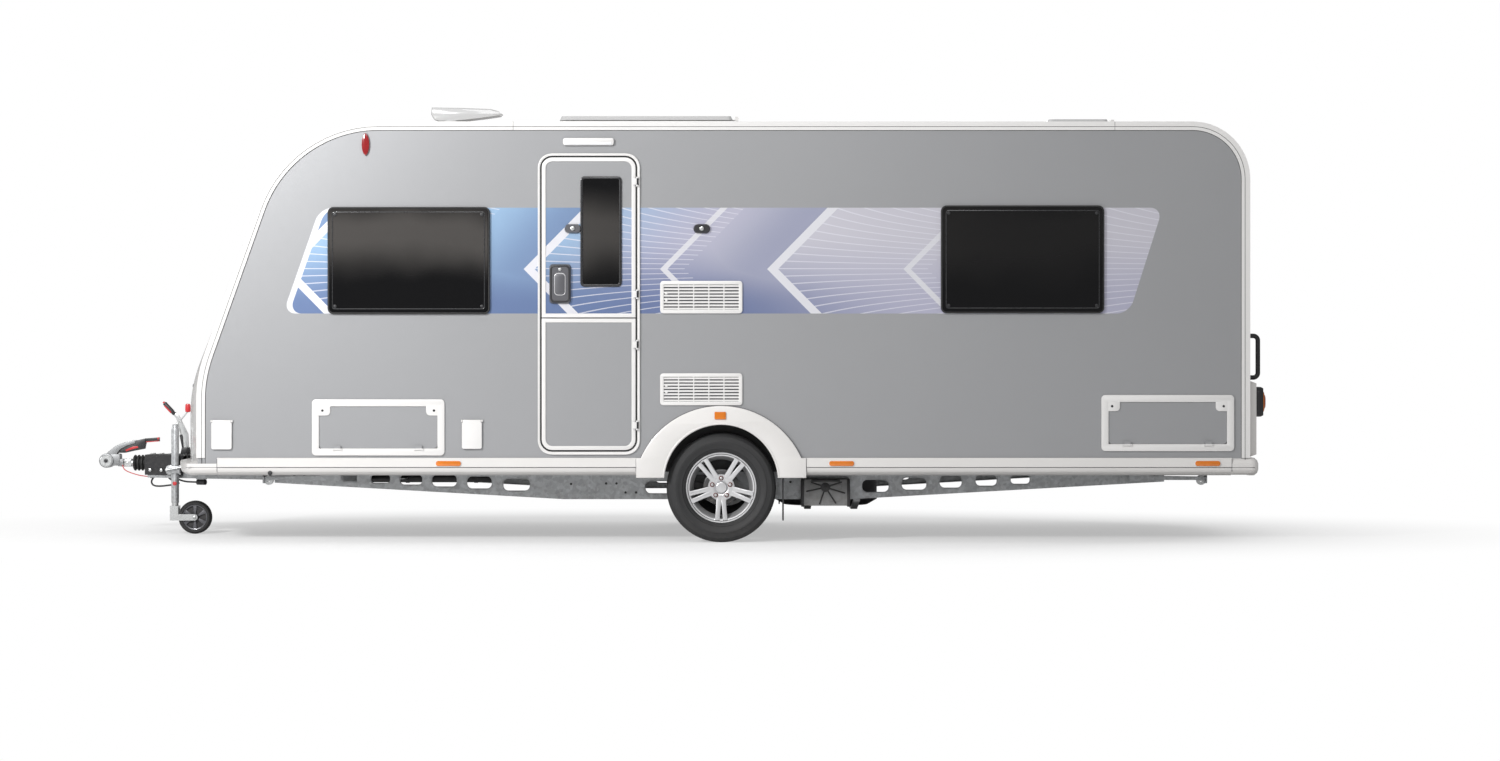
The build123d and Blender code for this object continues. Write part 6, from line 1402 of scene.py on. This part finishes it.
class CARAVAN_OT_hitch(bpy.types.Operator):
    """Adds the coupling, its handle, the shaft, the bellows, the brake lever and the housing's bolts"""

    bl_idname = "caravan.hitch"
    bl_label = "Hitch"

    def execute(self, context):
        casting = [
            lathe(SOCKET_PROFILE, BALL, (0, 1, 0), 48),
            block((-3.575, -0.031, 0.423), (-3.482, 0.031, 0.4985), 0.009),
            block((-3.500, -0.026, 0.418), (-3.462, 0.026, 0.466), 0.006),
            block((-3.476, -0.044, 0.440), (-3.460, 0.0, 0.455), 0.003),
        ]
        settle(casting, "coupling_body", "casting", replaces=["coupling_head"])
        pads = [lathe(PAD_PROFILE, BALL, OUT[side], 40) for side in SIDES.values()]
        settle(pads, "friction_pads", "bright zinc")
        cores = [stud(BALL, OUT[side], 0.043, 0.0482, 0.0125, 6, 0.001) for side in SIDES.values()]
        settle(cores, "pad_cores", "black plastic")
        shaft = [
            rod((-3.485, 0, 0.441), (-3.400, 0, 0.441), 0.0255, 32),
            block((-3.462, -0.0275, 0.4165), (-3.412, 0.0275, 0.4655), 0.004),
            rod((-3.437, -0.031, 0.441), (-3.437, 0.031, 0.441), 0.0095, 6, 0.001),
        ]
        settle(shaft, "coupling_shaft", "bright zinc")

        arms = [level_plate(ARM_OUTLINE, y, y + 0.008, 0.0025) for y in (-0.027, 0.019)]
        settle(arms, "handle_arms", "casting", replaces=["coupling_handle"])
        blacks = [
            level_plate(GRIP_HOUSING, -0.0205, 0.0205, 0.004),
            level_plate(HANDLE_GRIP, -0.017, 0.017, 0.004),
        ]
        settle(blacks, "handle_grip", "black plastic")
        reds = [
            level_plate(HANDLE_RED, -0.0176, 0.0176, 0.001),
            level_plate(HANDLE_INSET, -0.0213, 0.0213, 0.001),
            block((-3.250, -0.0172, 0.589), (-3.238, 0.0172, 0.6035), 0.002),
        ]
        settle(reds, "handle_red_parts", "red plastic")

        folds = [(radius, rib * FOLD_PITCH + start) for rib in range(FOLD_COUNT) for radius, start in FOLD]
        ends = [(0.036, 0.0935), (0.0265, 0.0938)]
        sleeve = lathe([(0.0265, 0.0), *folds, *ends], (-3.403, 0, 0.441), (1, 0, 0), 48)
        settle(sleeve, "shaft_bellows", "gasket", replaces=["bellows"])

        lever = [
            level_plate(LEVER_OUTLINE, -0.0235, -0.0105, 0.002),
            rod((-3.118, 0.017, 0.683), (-3.100, 0.017, 0.600), 0.0055, 16),
            rod((-3.118, -0.012, 0.683), (-3.118, 0.024, 0.683), 0.006, 6),
        ]
        settle(lever, "brake_lever", "bright zinc", replaces=["handbrake_lever"])
        dark = [
            rod(GRIP_START, GRIP_END, 0.0135, 24, 0.003),
            rod((-3.104, 0.017, 0.620), (-3.080, 0.017, 0.500), 0.0105, 20, 0.002),
            level_plate(LEVER_FOOT, -0.030, -0.004, 0.004),
        ]
        settle(dark, "lever_grip_and_strut", "black plastic")
        way = (GRIP_END - GRIP_START).normalized()
        under = GRIP_START + Vector((0, -0.0002, 0)) + Vector((way.z, 0, -way.x)) * -0.0045
        reds = [
            stud(under, way, 0.022, 0.084, 0.0122, 20, 0.002),
            stud(GRIP_END, way, 0, 0.010, 0.007, 16, 0.001),
        ]
        settle(reds, "lever_red_parts", "red plastic")

        bolts = []
        for side in SIDES.values():
            for x in (-3.270, -3.190, -3.110):
                half = HOUSING_HALF + (x - HOUSING_X) * HOUSING_FLARE
                bolts.append(stud((x, side * half, 0.398), OUT[side], 0, 0.010, 0.010, 6, 0.001))
        for x in (-3.280, -3.225, -3.165):
            for y in (0.045, -0.045):
                bolts.append(rod((x, y, 0.494), (x, y, 0.503), 0.009, 6, 0.001))
        settle(bolts, "housing_bolts", "bright zinc")
        relief = rod((-3.190, -0.010, 0.3985), (-3.190, -0.0115, 0.380), 0.0095, 20, 0.0008, 0.0062)
        settle(relief, "lead_strain_relief", "gasket")
        pull = rod((-3.468, -0.036, 0.4415), (-3.4665, -0.0365, 0.428), 0.0052, 16, 0.0005, 0.0036)
        settle(pull, "cable_ferrule", "bright zinc")
        return {"FINISHED"}


# Jockey wheel: foot of its post's centre line, middle of its wheel, then turned parts
POST = Vector((-3.087, -0.2379, 0))
POST_PROFILE = [(0.0215, 0.197), (0.024, 0.197), (0.024, 0.655), (0.0225, 0.662), (0.0195, 0.672),
                (0.0185, 0.688), (0.010, 0.690)]
KNOB_PROFILE = [(0.010, 0.767), (0.0155, 0.770), (0.0168, 0.780), (0.0165, 0.808), (0.0135, 0.818),
                (0.006, 0.8205)]
JOCKEY_HUB = Vector((-2.959, -0.2379, 0.105))
JOCKEY_TYRE = mirrored([(0.078, -0.020), (0.081, -0.0245), (0.092, -0.0248), (0.101, -0.018),
                        (0.1045, -0.012)])
JOCKEY_RIM = mirrored([(0.072, -0.018), (0.079, -0.020)])
JOCKEY_NAVE = mirrored([(0.008, -0.0246), (0.019, -0.0246), (0.021, -0.020)])
JOCKEY_WEB = mirrored([(0.018, -0.0055), (0.074, -0.0055)])
JOCKEY_SPOKE = [(0.018, -0.0060), (0.074, -0.0120), (0.074, 0.0120), (0.018, 0.0060)]
JOCKEY_SPOKES = 6


def by_post(x, y, z):
    """Place beside the jockey post."""
    return POST + Vector((x, y, z))


class CARAVAN_OT_jockey(bpy.types.Operator):
    """Adds the jockey wheel's post, clamp, crank, fork bolts and spoked wheel"""

    bl_idname = "caravan.jockey"
    bl_label = "Jockey wheel"

    def execute(self, context):
        across, up = (0, 1, 0), (0, 0, 1)
        post = [
            lathe(POST_PROFILE, POST, up, 40),
            block(by_post(-0.052, -0.032, 0.380), by_post(0.036, 0.008, 0.428), 0.005),
        ]
        settle(post, "jockey_post_tube", "zinc", replaces=["jockey_post"])
        bends = [(-0.046, -0.030, 0.404), (-0.046, -0.050, 0.404), (0.062, -0.050, 0.424)]
        clamp = [
            block(by_post(-0.050, 0.004, 0.372), by_post(0.034, 0.030, 0.432), 0.003),
            bent_rod([by_post(*bend) for bend in bends], 0.0045, 0.008),
            rod(by_post(-0.046, -0.024, 0.404), by_post(-0.046, -0.044, 0.404), 0.010, 6, 0.001),
            rod(by_post(0, 0, 0.672), by_post(0.018, 0, 0.700), 0.008, 16, 0.001),
            rod(by_post(0.010, 0, 0.686), by_post(0.080, 0, 0.772), 0.0045, 14),
        ]
        settle(clamp, "jockey_clamp_and_crank", "bright zinc")
        knob = lathe(KNOB_PROFILE, by_post(0.080, 0, 0), up, 24)
        dot = rod(by_post(0.002, -0.0236, 0.318), by_post(0.002, -0.0262, 0.318), 0.013, 24, 0.001)
        settle([knob, dot], "jockey_red_parts", "red plastic")

        nuts = []
        for side in SIDES.values():
            nuts.append(stud(JOCKEY_HUB, OUT[side], 0.0355, 0.0445, 0.0105, 6, 0.001))
            nuts.append(stud(JOCKEY_HUB, OUT[side], 0.0355, 0.038, 0.0145, 24))
        settle(nuts, "jockey_axle_nuts", "bright zinc", "jockey_fork")

        tyre = lathe(JOCKEY_TYRE, JOCKEY_HUB, across, 96)
        for polygon in tyre.data.polygons:
            spot = polygon.center - JOCKEY_HUB
            turn = int(math.degrees(math.atan2(spot.z, spot.x)) // 3.75)
            polygon.select = math.hypot(spot.x, spot.z) > 0.100 and turn % 3 == 0
        only(tyre)
        bpy.ops.object.mode_set(mode="EDIT")
        bpy.ops.mesh.select_mode(type="FACE")
        bpy.ops.mesh.extrude_region_shrink_fatten(TRANSFORM_OT_shrink_fatten={"value": -0.0035})
        bpy.ops.object.mode_set(mode="OBJECT")
        settle(tyre, "jockey_tyre", "gasket", "jockey_wheel", ["jockey_wheel"], 30, "black_plastic")
        wheel = [lathe(JOCKEY_RIM, JOCKEY_HUB, across, 48), lathe(JOCKEY_NAVE, JOCKEY_HUB, across, 32)]
        for number in range(JOCKEY_SPOKES):
            turn = Matrix.Rotation(math.radians(360 / JOCKEY_SPOKES * number + 30), 4, "Y")
            spoke = level_plate(JOCKEY_SPOKE, -0.016, 0.016, 0.002)
            spoke.data.transform(Matrix.Translation(JOCKEY_HUB) @ turn)
            wheel.append(spoke)
        # painted highlight: rim, nave and spokes are a lighter grey than the black web, standing in for their
        # highlights
        settle(wheel, "jockey_wheel_spokes_painted_highlight", "grey plastic", "jockey_wheel")
        settle(lathe(JOCKEY_WEB, JOCKEY_HUB, across, 48), "jockey_wheel_web", "black plastic", "jockey_wheel")
        return {"FINISHED"}


# Chassis rails: x and z of their lower edge, centre and width of their lightening holes, x and z of the
# bolts in their webs, and the outer face of the webs
CHASSIS_EDGE = [(-2.350, 0.345), (-0.590, 0.245), (1.150, 0.245), (3.060, 0.352)]
CHASSIS_HOLES = [(-1.885, 0.119), (-1.706, 0.127), (-1.520, 0.146), (-1.318, 0.162), (-1.105, 0.162),
                 (-0.879, 0.173), (-0.018, 0.165), (1.304, 0.173), (1.539, 0.162), (1.762, 0.146),
                 (1.978, 0.140), (2.185, 0.127)]
WEB_BOLTS = [(-0.547, 0.338), (-0.334, 0.341), (-0.271, 0.341), (-0.216, 0.286), (-0.152, 0.286),
             (0.787, 0.350), (-2.230, 0.385), (-2.170, 0.385), (2.940, 0.385), (3.000, 0.385)]
WEB_FACE = 0.8535
# Waste pipe behind the near rail, seen through its front holes: y and z, then x of its collars
PIPE = (-0.700, 0.368)
PIPE_COLLARS = (-1.980, -1.560, -1.140)
# Underfloor unit: x0, x1, y0, y1, z0, z1
UNIT_BOX = (0.850, 1.145, -0.984, -0.854, 0.205, 0.372)
STEADY_FOOT = mirrored([(0.012, -0.012), (0.026, -0.012), (0.030, -0.007)])
# Steadies: end, x of the hinge and the way they point
STEADY_ENDS = [("front", -1.960, -1), ("rear", 2.860, 1)]


def chassis_edge_z(x):
    """Height of the rails' lower edge at this x."""
    for (x0, z0), (x1, z1) in zip(CHASSIS_EDGE, CHASSIS_EDGE[1:]):
        if x0 <= x <= x1:
            return z0 + (z1 - z0) * (x - x0) / (x1 - x0)
    raise ValueError(f"{x} lies beyond the rails")


class CARAVAN_OT_underside(bpy.types.Operator):
    """Adds the chassis bolts and hole lips, the waste pipe, the underfloor unit and the steadies' feet"""

    bl_idname = "caravan.underside"
    bl_label = "Underside"

    def execute(self, context):
        for name, side in SIDES.items():
            spots = [(x, side * WEB_FACE, z) for x, z in WEB_BOLTS]
            bolts = [stud(spot, OUT[side], 0, 0.004, 0.0075, 16, 0.001) for spot in spots]
            settle(bolts, f"web_bolts_{name}", "black paint")
            lips = []
            for x, width in CHASSIS_HOLES:
                low = chassis_edge_z(x) + 0.030
                high = min(low + 0.085, 0.399)
                edges = (x - width / 2, x + width / 2, low, high)
                lips.append(side_border(edges, 0.42 * (high - low), 0.006, side, 0.836, 0.8505, 0.0015))
            settle(lips, f"chassis_hole_lips_{name}", "zinc")

        y, z = PIPE
        drain = [rod((-2.050, y, z), (-1.030, y, z), 0.026, 32, 0.002)]
        for x in PIPE_COLLARS:
            drain.append(rod((x - 0.012, y, z), (x + 0.012, y, z), 0.0295, 32, 0.001))
            drain.append(block((x - 0.010, y - 0.012, z + 0.020), (x + 0.010, y + 0.012, 0.4155)))
        settle(drain, "waste_pipe", "black plastic")

        x0, x1, y0, y1, z0, z1 = UNIT_BOX
        tray = [
            block((x0 + 0.004, y0 + 0.004, z0 + 0.006), (x1 - 0.004, y1, z1), 0.006),
            block((x0 + 0.05, y0 + 0.001, z0 + 0.03), (x1 - 0.05, y0 + 0.01, z1 - 0.03), 0.004),
        ]
        settle(tray, "underfloor_tray", "dark tray", replaces=["underfloor_unit"])
        hub = Vector((x0 + 0.146, y0, z1 - 0.050))
        straps = [
            block((x0, y0, z0), (x0 + 0.018, y1, z1), 0.004),
            block((x1 - 0.018, y0, z0), (x1, y1, z1), 0.004),
            block((x0 + 0.06, y0 + 0.002, z1 - 0.018), (x1 - 0.06, y1, z1 - 0.002), 0.004),
            stud(hub, OUT[NEAR], -0.004, 0.006, 0.028, 32, 0.003),
            stud(hub, OUT[NEAR], 0.004, 0.010, 0.012, 6, 0.001),
        ]
        # wires from the hub to the edges of the tray
        wire_ends = [(x0 + 0.030, z1 - 0.075), (x0 + 0.060, z1 - 0.020), (x1 - 0.030, z1 - 0.085),
                     (x1 - 0.050, z1 - 0.018), (x0 + 0.110, z0 + 0.014), (x1 - 0.085, z0 + 0.020)]
        for x, z in wire_ends:
            straps.append(rod((hub.x, y0 - 0.001, hub.z), (x, y0 + 0.001, z), 0.0045, 10))
        settle(straps, "underfloor_straps", "black plastic")

        for end, hinge_x, way in STEADY_ENDS:
            for name, side in SIDES.items():
                foot = Vector((hinge_x + way * 0.408, side * 0.950, 0.366))
                roller = lathe(STEADY_FOOT, foot, (0, 1, 0), 24)
                pin = stud(foot, OUT[FAR], -0.018, 0.018, 0.008, 16)
                settle([roller, pin], f"steady_foot_{end}_{name}", "bright zinc", f"steady_{end}_{name}")
        return {"FINISHED"}


# Aerial: outline of its dome in the side view, then its turned foot
AERIAL_OUTLINE = [(-1.437, 2.664), (-1.250, 2.661), (-1.070, 2.654), (-1.018, 2.640), (-1.001, 2.626),
                  (-1.014, 2.612), (-1.110, 2.598), (-1.226, 2.584), (-1.310, 2.578), (-1.390, 2.578),
                  (-1.425, 2.592), (-1.441, 2.620)]
AERIAL_FOOT = [(0.085, -0.050), (0.080, -0.020), (0.060, 0.0), (0.055, 0.016), (0.010, 0.016)]
# Rear window: y0, y1, z0, z1
REAR_WINDOW = (-0.620, 0.620, 1.267, 1.951)
GRAB_LEVELS = (0.985, 1.236)
ROOFLIGHT_RIBS = {"large": 4, "small": 2}


class CARAVAN_OT_ends(bpy.types.Operator):
    """Adds the gas lid's locks, the aerial, the rear window's frame, the plate, the grab handles' feet
    and the ribs of the rooflights"""

    bl_idname = "caravan.ends"
    bl_label = "Front, rear and roof"

    def execute(self, context):
        locks = []
        for y in (-0.46, 0.46):
            spot, normal = front_spot("gas_locker_lid", y, 0.935)
            locks.append(stud(spot, normal, -0.003, 0.007, 0.022, 28, 0.003))
            locks.append(stud(spot, normal, 0, 0.011, 0.009, 20, 0.001))
        spot, normal = front_spot("gas_locker_lid", 0.0, 0.930)
        locks.append(stud(spot + normal * 0.006, (0, 1, 0), -0.09, 0.09, 0.009, 20, 0.003))
        settle(locks, "gas_lid_locks", "black plastic", "gas_lid")

        # the aerial dome is grey as painted shade over its white
        dome = level_plate(AERIAL_OUTLINE, -0.505, -0.395, 0.014)
        foot = lathe(AERIAL_FOOT, (-1.320, -0.450, 2.575), (0, 0, 1), 32)
        settle([dome, foot], "aerial_dome", "painted shade dome", replaces=["aerial"], slot="trim_white")

        outlines = frame_outlines(grown(REAR_WINDOW, 0.005), 0.034, 0.013)
        gasket = rear_plate(outlines, REAR_X, REAR_X + 0.017, 0.004)
        settle(gasket, "rear_window_gasket", "gasket")
        outlines = frame_outlines(grown(REAR_WINDOW, -0.050), 0.022, 0.010)
        rib = rear_plate(outlines, REAR_X + 0.021, REAR_X + 0.026, 0.002)
        settle(rib, "rear_window_rib", "window frame")

        plate = rear_patch((-0.262, 0.262, 0.680, 0.796), 0.008, 3.5620, 3.5640, 0.0005)
        settle(plate, "blank_plate", "white trim")
        light = rear_patch((-0.060, 0.060, 0.806, 0.828), 0.006, 3.566, 3.582, 0.004)
        settle(light, "plate_lamp", "black plastic")
        feet = []
        for side in SIDES.values():
            for level in GRAB_LEVELS:
                edges = (side - 0.024, side + 0.024, level - 0.030, level + 0.030)
                feet.append(rear_patch(edges, 0.012, REAR_X - 0.001, REAR_X + 0.010, 0.003))
        settle(feet, "grab_handle_feet", "black plastic")

        for name, count in ROOFLIGHT_RIBS.items():
            low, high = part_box(f"rooflight_lid_{name}")
            ribs = []
            for number in range(count):
                x = low.x + (high.x - low.x) * (number + 0.5) / count
                corner = (x + 0.030, high.y - 0.07, high.z + 0.004)
                ribs.append(block((x - 0.030, low.y + 0.07, high.z - 0.001), corner, 0.002))
            # the rooflight ribs share the grey painted shade of the lids
            settle(ribs, f"rooflight_ribs_{name}", "painted shade dome", f"rooflight_{name}")
        return {"FINISHED"}


class CARAVAN_PT_panel(bpy.types.Panel):
    """Lists the steps that dress the caravan"""

    bl_idname = "CARAVAN_PT_panel"
    bl_label = "Caravan"
    bl_space_type = "VIEW_3D"
    bl_region_type = "UI"
    bl_category = "Caravan"

    def draw(self, context):
        for operator in OPERATORS:
            self.layout.operator(operator.bl_idname)


OPERATORS = [
    CARAVAN_OT_finishes,
    CARAVAN_OT_stage,
    CARAVAN_OT_cords,
    CARAVAN_OT_wheels,
    CARAVAN_OT_glazing,
    CARAVAN_OT_doors,
    CARAVAN_OT_lockers,
    CARAVAN_OT_vents,
    CARAVAN_OT_mouldings,
    CARAVAN_OT_lamps,
    CARAVAN_OT_hitch,
    CARAVAN_OT_jockey,
    CARAVAN_OT_underside,
    CARAVAN_OT_ends,
]
CLASSES = [CaravanSizes, CaravanColours, *OPERATORS, CARAVAN_PT_panel]


def register():
    """Registers the classes and the scene's settings."""
    for cls in CLASSES:
        bpy.utils.register_class(cls)
    bpy.types.Scene.caravan_sizes = bpy.props.PointerProperty(type=CaravanSizes)
    bpy.types.Scene.caravan_colours = bpy.props.PointerProperty(type=CaravanColours)


def unregister():
    """Takes the classes and settings away again."""
    del bpy.types.Scene.caravan_colours
    del bpy.types.Scene.caravan_sizes
    for cls in reversed(CLASSES):
        bpy.utils.unregister_class(cls)


def main():
    """Dresses the caravan."""
    register()
    for operator in OPERATORS:
        family, name = operator.bl_idname.split(".")
        getattr(getattr(bpy.ops, family), name)()


if __name__ == "__main__":
    main()
